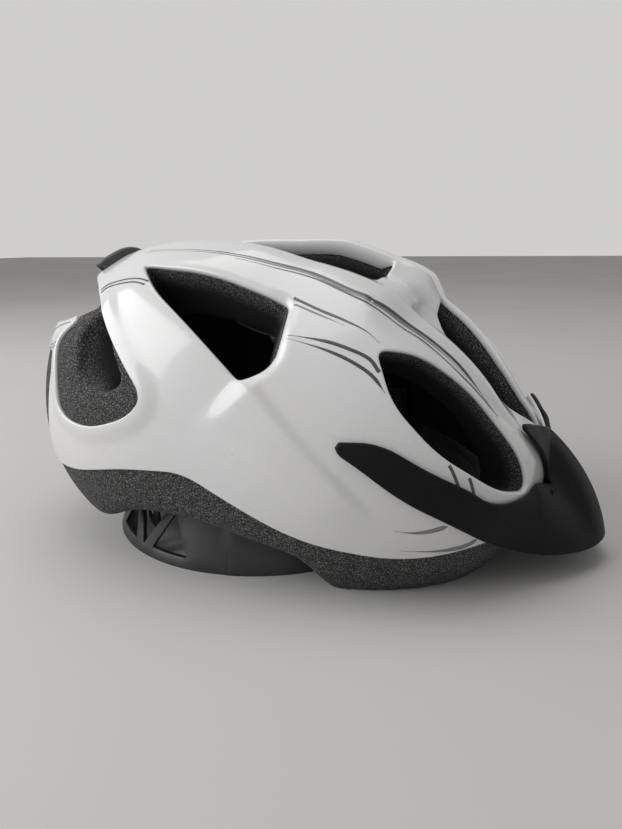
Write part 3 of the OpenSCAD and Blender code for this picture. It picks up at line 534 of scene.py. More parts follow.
@dataclass
class ChartMesher:
    """Meshes part of a dome from a flat chart of directions, trimmed and rolled in along its edges."""

    reach: Callable[[Array], Array]
    margins: Callable[[Array], Array]
    rolls: tuple[float, ...]
    wrap: float = 1.2
    more_wrap: Callable[[Array], Array] | None = None
    step: float = 1.2
    widest: float = 122
    roll_steps: int = 5

    def directions(self, spots: Array) -> Array:
        """Unit directions of the chart's spots, which are degrees away from straight up."""
        away = np.radians(np.hypot(spots[:, 0], spots[:, 1]))
        turn = np.arctan2(spots[:, 1], spots[:, 0])
        return np.stack([np.sin(away) * np.cos(turn), np.sin(away) * np.sin(turn), np.cos(away)], -1)

    def signed(self, spots: Array, edge: Array | None = None) -> Array:
        """Margin of spots less the edge's roll, for the nearest edge or for a chosen one."""
        values = self.margins(self.directions(spots)) - np.array(self.rolls)
        return values.min(1) if edge is None else values[np.arange(len(spots)), edge]

    def settle(self, spots: Array, target: Array | float, edge: Array | None = None) -> Array:
        """Moves spots square to an edge until their margin is the target."""
        nudge = 0.05
        for _ in range(3):
            here = self.signed(spots, edge)
            slope = np.column_stack([
                (self.signed(spots + np.array(v) * nudge, edge) - here) / nudge for v in ((1, 0), (0, 1))])
            size = np.maximum((slope * slope).sum(1), 0.3)
            move = ((target - here) / size)[:, None] * slope
            spots = spots + np.clip(move, -self.step, self.step)
        return spots

    def trimmed(self) -> tuple[Array, Faces]:
        """Spots and faces of the surface inside all of its edges."""
        ticks = np.arange(-self.widest, self.widest + self.step, self.step)
        a, b = np.meshgrid(ticks, ticks, indexing="ij")
        spots = np.column_stack([a.ravel(), b.ravel()])
        value = np.where(np.hypot(a, b).ravel() < self.widest, self.signed(spots), -9.0)
        near = np.abs(value) < self.step * 0.55
        spots[near] = self.settle(spots[near], 0)
        value[near] = 0
        inside = value >= 0
        ids = np.arange(len(spots)).reshape(a.shape)
        cells = np.stack([ids[:-1, :-1], ids[1:, :-1], ids[1:, 1:], ids[:-1, 1:]], -1).reshape(-1, 4)
        held = inside[cells].sum(1)
        faces = cells[held == 4].tolist()
        faces = [f for f in faces if value[f].max() > 0]
        cuts: dict[tuple[int, int], int] = {}
        extra = []
        for cell in cells[(held > 0) & (held < 4)].tolist():
            ring = []
            for p, q in zip(cell, cell[1:] + cell[:1]):
                if inside[p]:
                    ring.append(p)
                if inside[p] != inside[q] and value[p] * value[q] != 0:
                    key = (min(p, q), max(p, q))
                    if key not in cuts:
                        share = value[p] / (value[p] - value[q])
                        cuts[key] = len(spots) + len(extra)
                        extra.append(spots[p] + (spots[q] - spots[p]) * share)
                    ring.append(cuts[key])
            if len(ring) >= 3 and any(i >= len(value) or value[i] > 0 for i in ring):
                faces.append(ring)
        if extra:
            spots = np.vstack([spots, self.settle(np.array(extra), 0)])
        used = np.unique(np.concatenate([np.array(f) for f in faces]))
        new_id = np.full(len(spots), -1)
        new_id[used] = np.arange(len(used))
        return spots[used], [[int(new_id[i]) for i in f] for f in faces]

    def build(self, wall: float = 0.0) -> Mesh:
        """Meshes the trimmed surface with its edges rolled in.

        Args:
            wall: thickness of a closed piece, twice the edge's roll; without it the mesh stays open behind.

        Returns:
            The mesh, in the level dome's frame.
        """
        spots, faces = self.trimmed()
        directed = {(p, q) for f in faces for p, q in zip(f, f[1:] + f[:1])}
        border = [(p, q) for p, q in directed if (q, p) not in directed]
        border.sort()
        rim = np.array(sorted({p for pair in border for p in pair}))
        row_of = {int(p): i for i, p in enumerate(rim)}
        d = self.directions(spots)
        rows = [d * self.reach(d)[:, None]]
        edge = (self.margins(d[rim]) - np.array(self.rolls)).argmin(1)
        roll = np.array(self.rolls)[edge]
        here = spots[rim]
        last = rim.tolist()
        total = len(spots)
        front_faces = list(faces)

        def strip(old: list[int], new: list[int]) -> Faces:
            """Faces between two rows of points along the border."""
            return [[old[row_of[q]], old[row_of[p]], new[row_of[p]], new[row_of[q]]] for p, q in border]

        for k in range(1, 2 * self.roll_steps if wall else self.roll_steps + 2):
            part = k / self.roll_steps * math.pi / 2
            if wall or k <= self.roll_steps:
                here = self.settle(here, -roll * math.sin(part), edge)
            d = self.directions(here)
            sink = roll * (1 - math.cos(part))
            if not wall and k > self.roll_steps:
                sink = roll + self.wrap + (self.more_wrap(d) if self.more_wrap else 0)
            rows.append(d * (self.reach(d) - sink)[:, None])
            fresh = list(range(total, total + len(rim)))
            faces += strip(last, fresh)
            last = fresh
            total += len(rim)
        if wall:
            d = self.directions(spots)
            rows.append(d * (self.reach(d) - wall)[:, None])
            faces += [[i + total for i in reversed(f)] for f in front_faces]
            faces += strip(last, (rim + total).tolist())
        return Mesh(np.vstack(rows), faces)


@dataclass
class FieldMesher:
    """Meshes the surface where a field is zero, on a grid of small cells, for a form with two like sides."""

    value: Callable[[Array], Array]
    low: Spot
    high: Spot
    cell: float = 2.0

    def grid(self) -> tuple[Array, Array]:
        """Lowest corner and field values of the whole grid; only one side is worked out."""
        ticks = [np.arange(lo, hi + self.cell, self.cell) for lo, hi in zip(self.low, self.high)]
        ticks[1] = -np.arange(0, -self.low[1] + self.cell, self.cell)[::-1]
        mesh = np.meshgrid(*ticks, indexing="ij")
        half = self.value(np.column_stack([m.ravel() for m in mesh])).reshape(mesh[0].shape)
        corner = np.array([t[0] for t in ticks])
        return corner, np.concatenate([half, half[:, -2::-1]], 1)

    def build(self) -> Mesh:
        """One point in each cell that the surface crosses, joined by four-sided faces."""
        corner, field_values = self.grid()
        shape = np.array(field_values.shape)
        inside = field_values < 0
        cells = tuple(shape - 1)
        total = np.zeros(cells + (3,))
        count = np.zeros(cells)
        offsets = [np.array([i, j, k]) for i in (0, 1) for j in (0, 1) for k in (0, 1)]

        def part(values: Array, o: Array) -> Array:
            """Values at one corner of every cell."""
            return values[o[0]:o[0] + cells[0], o[1]:o[1] + cells[1], o[2]:o[2] + cells[2]]

        for a in offsets:
            for axis in range(3):
                if a[axis]:
                    continue
                b = a.copy()
                b[axis] = 1
                fa, fb = part(field_values, a), part(field_values, b)
                cross = part(inside, a) != part(inside, b)
                share = np.where(cross, fa / np.where(cross, fa - fb, 1), 0)
                spot = np.ones(cells + (3,)) * a
                spot[..., axis] += share
                total += spot * cross[..., None]
                count += cross
        active = count > 0
        where = np.argwhere(active)
        points = corner + (where + total[active] / count[active][:, None]) * self.cell
        ids = np.full(cells, -1)
        ids[active] = np.arange(len(where))
        faces = []
        for axis in range(3):
            u, v = (axis + 1) % 3, (axis + 2) % 3
            step = np.eye(3, dtype=int)
            first = inside[:-1] if axis == 0 else inside[:, :-1] if axis == 1 else inside[:, :, :-1]
            second = inside[1:] if axis == 0 else inside[:, 1:] if axis == 1 else inside[:, :, 1:]
            at = np.argwhere(first != second)
            at = at[(at[:, u] > 0) & (at[:, v] > 0) & (at[:, u] < shape[u] - 1) & (at[:, v] < shape[v] - 1)]
            quad = np.stack([ids[tuple((at - s).T)] for s in (
                step[u] + step[v], step[v], 0 * step[u], step[u])], -1)
            outward = first[tuple(at.T)]
            quad[~outward] = quad[~outward][:, ::-1]
            faces.append(quad)
        return Mesh(points, np.vstack(faces).tolist())

    def refined(self, mesh: Mesh) -> Mesh:
        """The mesh with its points drawn onto the true surface."""
        p = mesh.points
        nudge = 0.2
        here = self.value(p)
        slope = np.column_stack([(self.value(p + np.eye(3)[k] * nudge) - here) / nudge for k in range(3)])
        size = np.maximum((slope * slope).sum(1), 0.25)
        move = (-here / size)[:, None] * slope
        return Mesh(p + np.clip(move, -self.cell / 2, self.cell / 2), mesh.faces)


# Finishes

class NodeSheet:
    """Short way to write a material's nodes."""

    def __init__(self, name: str) -> None:
        """Makes an empty material with its principled shader and output."""
        self.material = bpy.data.materials.new(name)
        self.material.use_nodes = True
        self.tree = self.material.node_tree
        self.shader = self.tree.nodes["Principled BSDF"]
        self.spots = self.node("ShaderNodeTexCoord").outputs["Object"]

    def node(self, kind: str, inputs: dict | None = None, **settings: object) -> bpy.types.Node:
        """Adds a node; an input that is a socket is linked, any other is a value."""
        made = self.tree.nodes.new(kind)
        for key, value in settings.items():
            setattr(made, key, value)
        for key, value in (inputs or {}).items():
            if isinstance(value, bpy.types.NodeSocket):
                self.tree.links.new(value, made.inputs[key])
            else:
                made.inputs[key].default_value = value
        return made

    def noise(self, scale: float, detail: float = 2.0, spots: bpy.types.NodeSocket | None = None
              ) -> bpy.types.NodeSocket:
        """Noise of features about 1 / scale metres across."""
        return self.node("ShaderNodeTexNoise", {
            "Vector": spots or self.spots, "Scale": scale, "Detail": detail}).outputs["Fac"]

    def stretched(self, scale: Spot) -> bpy.types.NodeSocket:
        """Coordinates scaled by different amounts along the axes."""
        return self.node("ShaderNodeMapping", {"Vector": self.spots, "Scale": scale}).outputs["Vector"]

    def between(self, value: bpy.types.NodeSocket, low: float, high: float,
                out: Pair = (0.0, 1.0)) -> bpy.types.NodeSocket:
        """Value stretched from low..high to another range and held there."""
        return self.node("ShaderNodeMapRange", {
            "Value": value, "From Min": low, "From Max": high, "To Min": out[0], "To Max": out[1]},
            interpolation_type="SMOOTHSTEP").outputs["Result"]

    def mixed(self, share: bpy.types.NodeSocket, a: object, b: object) -> bpy.types.NodeSocket:
        """Colour between two colours, by the mix node's numbered colour sockets."""
        return self.node("ShaderNodeMix", {0: share, 6: a, 7: b}, data_type="RGBA").outputs[2]

    def maths(self, operation: str, a: object, b: object = 0.0) -> bpy.types.NodeSocket:
        """Sum, product or other result of two values."""
        return self.node("ShaderNodeMath", {0: a, 1: b}, operation=operation).outputs[0]

    def finish(self, colour: bpy.types.NodeSocket, rough: bpy.types.NodeSocket, height: bpy.types.NodeSocket,
               depth: float, plain: dict[str, float] | None = None) -> bpy.types.Material:
        """Links colour, roughness and relief to the shader and sets its plain values.

        Args:
            colour: the surface's colour.
            rough: its roughness.
            height: relief from 0 to 1.
            depth: how deep that relief is, in millimetres.
            plain: plain values for the shader's own sockets.

        Returns:
            The finished material.
        """
        bump = self.node("ShaderNodeBump", {"Height": height, "Distance": depth * MM, "Strength": 1.0})
        for key, socket in (("Base Color", colour), ("Roughness", rough), ("Normal", bump.outputs["Normal"])):
            self.tree.links.new(socket, self.shader.inputs[key])
        for key, value in (plain or {}).items():
            self.shader.inputs[key].default_value = value
        return self.material


def grey(level: float, warm: float = 0.0) -> tuple[float, float, float, float]:
    """Grey of a linear level, a little warmer or cooler."""
    return (level * (1 + warm), level, level * (1 - warm), 1.0)


@dataclass(frozen=True)
class GlossFinish:
    """Clear gloss over a plain moulded colour, with faint handling marks."""

    name: str
    level: float
    warm: float = -0.006
    rough: float = 0.2
    coat: float = 0.6

    def material(self) -> bpy.types.Material:
        """Builds the material's nodes."""
        sheet = NodeSheet(self.name)
        cloud = sheet.between(sheet.noise(14, 3), 0.3, 0.7)
        colour = sheet.mixed(cloud, grey(self.level, self.warm), grey(self.level * 0.95, 0.004))
        specks = sheet.between(sheet.noise(620, 1), 0.765, 0.79)
        lines = sheet.between(sheet.noise(40, 2, sheet.stretched((2.0, 16.0, 7.0))), 0.715, 0.74)
        marks = sheet.maths("MAXIMUM", specks, sheet.maths("MULTIPLY", lines, 0.5))
        colour = sheet.mixed(sheet.maths("MULTIPLY", marks, 0.28), colour, grey(self.level * 0.4, 0.02))
        smear = sheet.between(sheet.noise(32, 4), 0.35, 0.75, (self.rough - 0.04, self.rough + 0.1))
        rough = sheet.maths("ADD", smear, sheet.maths("MULTIPLY", marks, 0.25))
        height = sheet.maths("SUBTRACT", sheet.noise(260, 1), sheet.maths("MULTIPLY", marks, 0.6))
        return sheet.finish(colour, rough, height, 0.018, {"Coat Weight": self.coat, "Coat Roughness": 0.07})


@dataclass(frozen=True)
class BeadFoamFinish:
    """Moulded bead foam: dark beads with pale speckles, and painted shade that darkens it the deeper it lies
    below the shell.
    """

    name: str
    dark: float = 0.012
    pale: float = 0.3
    # Depths below the shell's skin over which painted shade darkens the foam, and the darkest level of that
    # painted shade.
    deep: Pair = (3.0, 13.0)
    painted_shade_level: float = 0.007

    def material(self) -> bpy.types.Material:
        """Builds the material's nodes."""
        sheet = NodeSheet(self.name)
        grain = sheet.noise(1700, 2)
        fine = sheet.noise(3600, 1)
        speckle = sheet.between(sheet.maths("ADD", sheet.maths("MULTIPLY", grain, 0.6),
                                            sheet.maths("MULTIPLY", fine, 0.4)), 0.44, 0.66)
        cells = sheet.node("ShaderNodeTexVoronoi", {"Vector": sheet.spots, "Scale": 620.0},
                           feature="DISTANCE_TO_EDGE").outputs["Distance"]
        seam = sheet.between(cells, 0.0, 0.12)
        colour = sheet.mixed(speckle, grey(self.dark), grey(self.pale, 0.015))
        colour = sheet.mixed(seam, grey(self.dark * 1.5), colour)
        # Painted shade: the foam's colour goes to near black the deeper it lies below the shell's skin.
        depth = sheet.node("ShaderNodeAttribute", attribute_name="depth").outputs["Fac"]
        colour = sheet.mixed(sheet.between(depth, self.deep[0], self.deep[1]), colour, grey(self.painted_shade_level))
        height = sheet.maths("ADD", sheet.maths("MULTIPLY", seam, 0.7), sheet.maths("MULTIPLY", grain, 0.6))
        rough = sheet.between(grain, 0.3, 0.7, (0.75, 0.95))
        return sheet.finish(colour, rough, height, 0.22, {"Specular IOR Level": 0.3})


@dataclass(frozen=True)
class GrainPlasticFinish:
    """Moulded plastic with a fine spark-eroded grain, paler where it is rubbed."""

    name: str
    level: float
    rough: float = 0.55
    grain: float = 1500
    depth: float = 0.035
    rub: float = 0.5
    specular: float = 0.5

    def material(self) -> bpy.types.Material:
        """Builds the material's nodes."""
        sheet = NodeSheet(self.name)
        cloud = sheet.between(sheet.noise(45, 4), 0.35, 0.7)
        colour = sheet.mixed(cloud, grey(self.level), grey(self.level * 1.45, 0.01))
        scuffs = sheet.between(sheet.noise(55, 3, sheet.stretched((3.0, 0.7, 9.0))), 0.69, 0.76)
        colour = sheet.mixed(sheet.maths("MULTIPLY", scuffs, self.rub), colour, grey(self.level * 4 + 0.01))
        pits = sheet.noise(self.grain, 2)
        rough = sheet.between(pits, 0.3, 0.7, (self.rough - 0.07, self.rough + 0.1))
        return sheet.finish(colour, rough, pits, self.depth, {"Specular IOR Level": self.specular})


@dataclass(frozen=True)
class MetalFinish:
    """Plated steel with turning marks."""

    name: str
    level: float = 0.55

    def material(self) -> bpy.types.Material:
        """Builds the material's nodes."""
        sheet = NodeSheet(self.name)
        lines = sheet.noise(900, 2, sheet.stretched((1.0, 0.1, 1.0)))
        cloud = sheet.between(sheet.noise(160, 2), 0.3, 0.7)
        colour = sheet.mixed(cloud, grey(self.level), grey(self.level * 0.8))
        rough = sheet.between(lines, 0.3, 0.7, (0.22, 0.38))
        return sheet.finish(colour, rough, lines, 0.01, {"Metallic": 1.0})


@dataclass(frozen=True)
class WovenFinish:
    """Woven webbing or knitted cloth: threads in two directions, with a soft sheen."""

    name: str
    level: float
    threads: float = 620
    depth: float = 0.16
    sheen: float = 0.25

    def material(self) -> bpy.types.Material:
        """Builds the material's nodes."""
        sheet = NodeSheet(self.name)
        waves = []
        for turn in (0.0, math.pi / 2):
            lay = sheet.node("ShaderNodeMapping", {
                "Vector": sheet.spots, "Rotation": (turn, math.pi / 4, turn)}).outputs["Vector"]
            waves.append(sheet.node("ShaderNodeTexWave", {
                "Vector": lay, "Scale": self.threads, "Distortion": 0.6, "Detail": 1.0},
                wave_type="BANDS", bands_direction="DIAGONAL").outputs["Fac"])
        weave = sheet.maths("MULTIPLY", waves[0], waves[1])
        fuzz = sheet.noise(2400, 2)
        raised = sheet.between(weave, 0.05, 0.7)
        colour = sheet.mixed(raised, grey(self.level * 0.45), grey(self.level * 1.5, 0.01))
        colour = sheet.mixed(sheet.between(fuzz, 0.62, 0.75, (0.0, 0.25)), colour, grey(self.level * 4))
        rough = sheet.between(fuzz, 0.3, 0.7, (0.78, 0.95))
        height = sheet.maths("ADD", weave, sheet.maths("MULTIPLY", fuzz, 0.3))
        return sheet.finish(colour, rough, height, self.depth, {"Sheen Weight": self.sheen})


class Finish(Enum):
    """Finishes of the helmet's pieces, named for the record's material slots."""

    SHELL = ("shell_white", GlossFinish("shell_gloss", 0.8))
    STRIPE_DARK = ("shell_white", GlossFinish("stripe_dark", 0.045, rough=0.24))
    STRIPE_GREY = ("shell_white", GlossFinish("stripe_grey", 0.22, rough=0.24))
    FOAM = ("foam_grey", BeadFoamFinish("bead_foam"))
    TRIM = ("trim_grey", GlossFinish("trim_satin", 0.05, rough=0.4, coat=0.1))
    VISOR = ("visor_black", GrainPlasticFinish("visor_grain", 0.005, rough=0.5, depth=0.05, specular=0.15))
    CRADLE = ("cradle_black", GrainPlasticFinish("cradle_satin", 0.014, rough=0.42))
    DIAL = ("dial_black", GrainPlasticFinish("dial_satin", 0.02, rough=0.45))
    PINION = ("pinion_white", GrainPlasticFinish("pinion_nylon", 0.55, rough=0.5, rub=0.1))
    STEEL = ("steel", MetalFinish("plated_steel"))
    WEBBING = ("webbing", WovenFinish("strap_webbing", 0.02))
    PAD = ("pad_cloth", WovenFinish("pad_knit", 0.012, threads=420, sheen=0.2))
    BUCKLE = ("buckle_black", GrainPlasticFinish("buckle_grain", 0.014, rough=0.48))

    @property
    def slot(self) -> str:
        """The record's material slot."""
        return self.value[0]

    def dress(self, piece: bpy.types.Object) -> None:
        """Puts the finish on a piece."""
        made = bpy.data.materials.get(self.value[1].name) or self.value[1].material()
        piece.data.materials.clear()
        piece.data.materials.append(made)


def settle_piece(piece: bpy.types.Object, finish: Finish, body: Body, *nodes: str) -> None:
    """Dresses a piece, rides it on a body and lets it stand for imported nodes.

    Args:
        piece: the piece.
        finish: its finish.
        body: the body it moves with.
        nodes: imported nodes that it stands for.
    """
    finish.dress(piece)
    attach(piece, body.value)
    if nodes:
        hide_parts(*nodes)
    log.info("%s: %d faces", piece.name, len(piece.data.polygons))


# Head shell

@dataclass
class OuterShell:
    """Thin gloss shell with its rolled vent edges."""

    form: HelmetForm
    wall: float = 0.9
    rolls: tuple[float, ...] = (1.2, 1.2, 1.2, 1.2, 1.2, 0.9, 0.5, 0.7, 0.6, 0.6)
    step: float = 1.0

    def build(self) -> None:
        """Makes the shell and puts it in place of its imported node."""
        form = self.form
        mesher = ChartMesher(form.reach, form.shell_margins, self.rolls, more_wrap=form.shell_wrap,
                             step=self.step)
        piece = mesher.build().on_table(form.stance, "shell_skin")
        add_modifier(piece, "SOLIDIFY", thickness=self.wall * MM, offset=-1.0, use_even_offset=False)
        settle_piece(piece, Finish.SHELL, Body.HELMET, "outer_shell")


@dataclass
class RearTrim:
    """Dark wedge that stands over the shell behind the crown."""

    form: HelmetForm
    wall: float = 1.0
    gap: float = 1.0
    roll: float = 0.5
    step: float = 0.8
    widest: float = 80

    def build(self) -> None:
        """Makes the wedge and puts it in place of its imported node."""
        form = self.form
        rolls = (self.gap + self.roll, self.roll)
        mesher = ChartMesher(form.trim_reach, form.trim_margins, rolls, wrap=form.trim_proud - self.gap,
                             step=self.step, widest=self.widest)
        piece = mesher.build().on_table(form.stance, "rear_wedge")
        add_modifier(piece, "SOLIDIFY", thickness=self.wall * MM, offset=-1.0)
        settle_piece(piece, Finish.TRIM, Body.HELMET, "rear_trim")


@dataclass(frozen=True)
class Stripe:
    """One painted line: the directions it passes through, its width, its finish and how its ends taper."""

    name: str
    path: Path
    width: float
    finish: Finish
    shift: float = 0.0
    taper: Pair = (0.0, 0.0)


@dataclass
class Pinstripes:
    """Painted lines that follow the shell on both sides, kept clear of its rolled edges."""

    form: HelmetForm
    rolls: tuple[float, ...]
    lift: float = 0.12
    across: int = 4
    spacing: float = 1.0
    edge_room: float = 0.3
    least_count: int = 40
    least_width: float = 0.06
    ridge_upper: Path = (
        (-146.1, 42.6), (-132.6, 50.7), (-116, 56.8), (-95.4, 60.3), (-72.1, 60.1), (-53.6, 53.2),
        (-40.5, 46.6), (-32.7, 39.7), (-28.7, 34.5), (-25.5, 29.2), (-21.3, 18.6))
    ridge_lower: Path = (
        (-111, 56), (-93.2, 58.3), (-71.5, 57.8), (-54.2, 51.1), (-42.3, 44.2), (-34.1, 38), (-30.6, 33.2))
    ridge_front: Path = ((-33, 37.2), (-29.4, 31), (-27, 27), (-24, 22.6), (-21, 18.4))
    upper_front: Path = (
        (-76, 48.8), (-65.7, 45.5), (-57.5, 42.4), (-51.6, 39.3), (-48.6, 36))
    upper_rear: Path = ((-75.5, 46.9), (-65.5, 43.9), (-57.6, 40.9))
    lower_front: Path = (
        (-75, 37.3), (-63.5, 36.4), (-56.6, 34.4), (-52, 32.1), (-50, 29))
    lower_rear: Path = (
        (-75, 36.4), (-63.3, 34.1), (-56.3, 31.3), (-51.7, 28.1), (-49.2, 24.4))
    strut: Path = (
        (-139, 28), (-137.8, 31), (-135.6, 33.2), (-131.4, 35.7), (-125.5, 37))
    tail_top: Path = ((-154, 10.8), (-151.2, 12.7), (-146.9, 15.5), (-141.4, 18.5))
    tail_low: Path = ((-149.5, 9.4), (-145.5, 11.1), (-141.7, 12.7))
    brow_rear: Path = ((-39.6, 13.2), (-37.4, 10.5), (-35.3, 6))
    brow_front: Path = ((-34.8, 10.3), (-33.5, 8.1), (-32.2, 4.4))
    sweep_top: Path = ((-46, -3.1), (-41.2, -2.6), (-36.5, -0.8))
    sweep_low: Path = ((-43.5, -7.4), (-36.2, -6.4), (-31.6, -5.1), (-29.5, -3.6))

    def stripes(self) -> list[Stripe]:
        """All the lines of one side."""
        dark, pale = Finish.STRIPE_DARK, Finish.STRIPE_GREY
        return [
            Stripe("ridge_line", self.ridge_upper, 1.5, dark, 0.0, (0.5, 0.1)),
            Stripe("ridge_band", self.ridge_upper, 1.6, pale, -1.6, (0.5, 0.5)),
            Stripe("ridge_second_line", self.ridge_lower, 1.2, dark, 0.0, (0.5, 0.0)),
            Stripe("ridge_front_line", self.ridge_front, 2.2, dark, 0.0, (0.3, 0.15)),
            Stripe("upper_line", self.upper_front, 1.4, dark, 0.0, (0.0, 0.7)),
            Stripe("upper_second_line", self.upper_rear, 0.9, pale, 0.0, (0.0, 0.6)),
            Stripe("lower_line", self.lower_front, 1.7, dark, 0.0, (0.3, 0.0)),
            Stripe("lower_second_line", self.lower_rear, 1.6, dark, 0.0, (0.4, 0.2)),
            Stripe("strut_upper", self.strut, 0.9, dark, 1.2),
            Stripe("strut_lower", self.strut, 0.9, dark, -1.2),
            Stripe("tail_upper", self.tail_top, 0.8, pale, 0.0),
            Stripe("tail_rear_upper", self.tail_low, 0.8, pale, 0.9),
            Stripe("tail_rear_lower", self.tail_low, 0.8, pale, -0.9),
            Stripe("brow_rear_line", self.brow_rear, 1.4, dark),
            Stripe("brow_front_line", self.brow_front, 1.4, dark),
            Stripe("sweep_upper", self.sweep_top, 2.2, pale, 0.0, (0.8, 0.1)),
            Stripe("sweep_lower", self.sweep_low, 2.4, pale, 0.0, (0.6, 0.1)),
        ]

    def on_shell(self, directions: Array, lift: float) -> Array:
        """Points just over the shell in the given directions."""
        d = directions / np.linalg.norm(directions, axis=1)[:, None]
        return d * (self.form.reach(d) + lift)[:, None]

    def clear_run(self, line: Array) -> Array:
        """Longest stretch of a line that keeps clear of the shell's edges."""
        d = line / np.linalg.norm(line, axis=1)[:, None]
        clear = (self.form.shell_margins(d) - np.array(self.rolls)).min(1) > self.edge_room
        ends = np.flatnonzero(np.diff(np.concatenate([[0], clear.astype(int), [0]])))
        start, end = max(zip(ends[::2], ends[1::2]), key=lambda run: run[1] - run[0])
        return line[start:end]

    def ribbon(self, stripe: Stripe) -> Mesh:
        """Thin ribbon along a stripe, pressed into the shell's surface, for one side."""
        turns = np.array(stripe.path)
        rough = self.on_shell(toward(turns[:, 0], turns[:, 1]), 0)
        length = np.linalg.norm(np.diff(rough, axis=0), axis=1).sum()
        count = max(self.least_count, int(length / self.spacing))
        line = self.clear_run(self.on_shell(through(rough, count), 0))
        count = len(line)
        run = np.gradient(line, axis=0)
        side = np.cross(line, run)
        side /= np.linalg.norm(side, axis=1)[:, None]
        t = np.linspace(0, 1, count)
        start, end = stripe.taper
        full = smooth(t / start) if start else np.ones(count)
        full = full * (smooth((1 - t) / end) if end else 1)
        full = np.maximum(full, self.least_width)
        rows = []
        for k in range(self.across + 1):
            away = stripe.shift + stripe.width * full * (k / self.across - 0.5)
            rows.append(line + side * away[:, None])
        top, under = (np.stack([self.on_shell(r, lift) for r in rows], 1) for lift in (self.lift, -self.lift))
        return closed_slab(top, under)

    def build(self) -> None:
        """Makes every line on both sides."""
        for stripe in self.stripes():
            piece = self.ribbon(stripe).mirrored().on_table(self.form.stance, stripe.name)
            settle_piece(piece, stripe.finish, Body.HELMET)


@dataclass
class FoamLiner:
    """Bead-foam liner with rounded vent edges and hollowed scoops."""

    form: HelmetForm
    cell: float = 2.0
    box: tuple[Spot, Spot] = ((-146, -106, -72), (148, 0, 104))
    close_by: float = 9.0
    recess: float = 0.5
    scoop_sink: float = 0.4
    scoop_under: float = 2.5
    funnel: Pair = (103, 120)
    funnel_room: float = 0.6
    edge_round: float = 3.0
    rim_round: float = 9.0
    socket_r: float = 5.3
    socket_end: float = 121

    def value(self, p: Array) -> Array:
        """Field that is negative inside the foam, in millimetres."""
        far = np.maximum(np.linalg.norm(p, axis=1), 1)
        d = (p + np.array([0, 0, 1e-3])) / far[:, None]
        table_z = self.form.stance.to_table(p)[:, 2]
        rough = np.maximum(far - self.form.base_reach(d) + self.form.skin, self.form.head.reach(d) - far)
        rough = np.maximum(rough, -table_z)
        near = rough < self.close_by
        made = rough.copy()
        made[near] = self.close_value(p[near], d[near], far[near], table_z[near])
        return made

    def close_value(self, p: Array, d: Array, far: Array, table_z: Array) -> Array:
        """The field close to the foam, with its vents, scoops and rounded edges."""
        form = self.form
        skin = form.reach(d) - form.skin
        made = soft_max(far - skin, -form.over_edge(form.foam_edge, p), self.rim_round)
        made = soft_max(made, form.head.reach(d) - far, self.rim_round / 2)
        made = np.maximum(made, -table_z)
        for vent in (*form.vents, form.slot):
            made = soft_max(made, self.recess - vent.distance(p), self.edge_round)
        made = soft_max(made, self.recess - form.rear_notch.distance(p[:, [0, 2]]), self.edge_round)
        in_scoop = self.scoop_under - form.scoop.distance(p)
        made = np.maximum(made, np.minimum(in_scoop, far - skin + self.scoop_sink))
        bottom, top = self.funnel
        out = form.hollow.flat(p)[2]
        wide = np.clip((out - bottom) / (top - bottom), 0, 1)
        wall = wide * form.hollow.distance(p) + (1 - wide) * (form.slot.distance(p) - self.funnel_room)
        made = soft_max(made, -np.maximum(wall, bottom - out), self.edge_round)
        peg = np.hypot(np.abs(p[:, 1]) - form.peg_side, p[:, 2] - form.peg_z)
        return np.maximum(made, np.minimum(self.socket_r - peg, p[:, 0] - self.socket_end))

    def build(self) -> None:
        """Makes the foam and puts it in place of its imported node."""
        mesher = FieldMesher(self.value, *self.box, self.cell)
        mesh = mesher.refined(mesher.build())
        far = np.linalg.norm(mesh.points, axis=1)
        # Depth below the shell's skin, which the foam finish turns into painted shade inside the vents and the
        # head.
        depth = self.form.reach(mesh.points / far[:, None]) - self.form.skin - far
        piece = mesh.on_table(self.form.stance, "foam_body")
        shade = piece.data.attributes.new("depth", "FLOAT", "POINT")
        shade.data.foreach_set("value", depth.astype(np.float32))
        settle_piece(piece, Finish.FOAM, Body.HELMET, "foam_liner")


# Visor

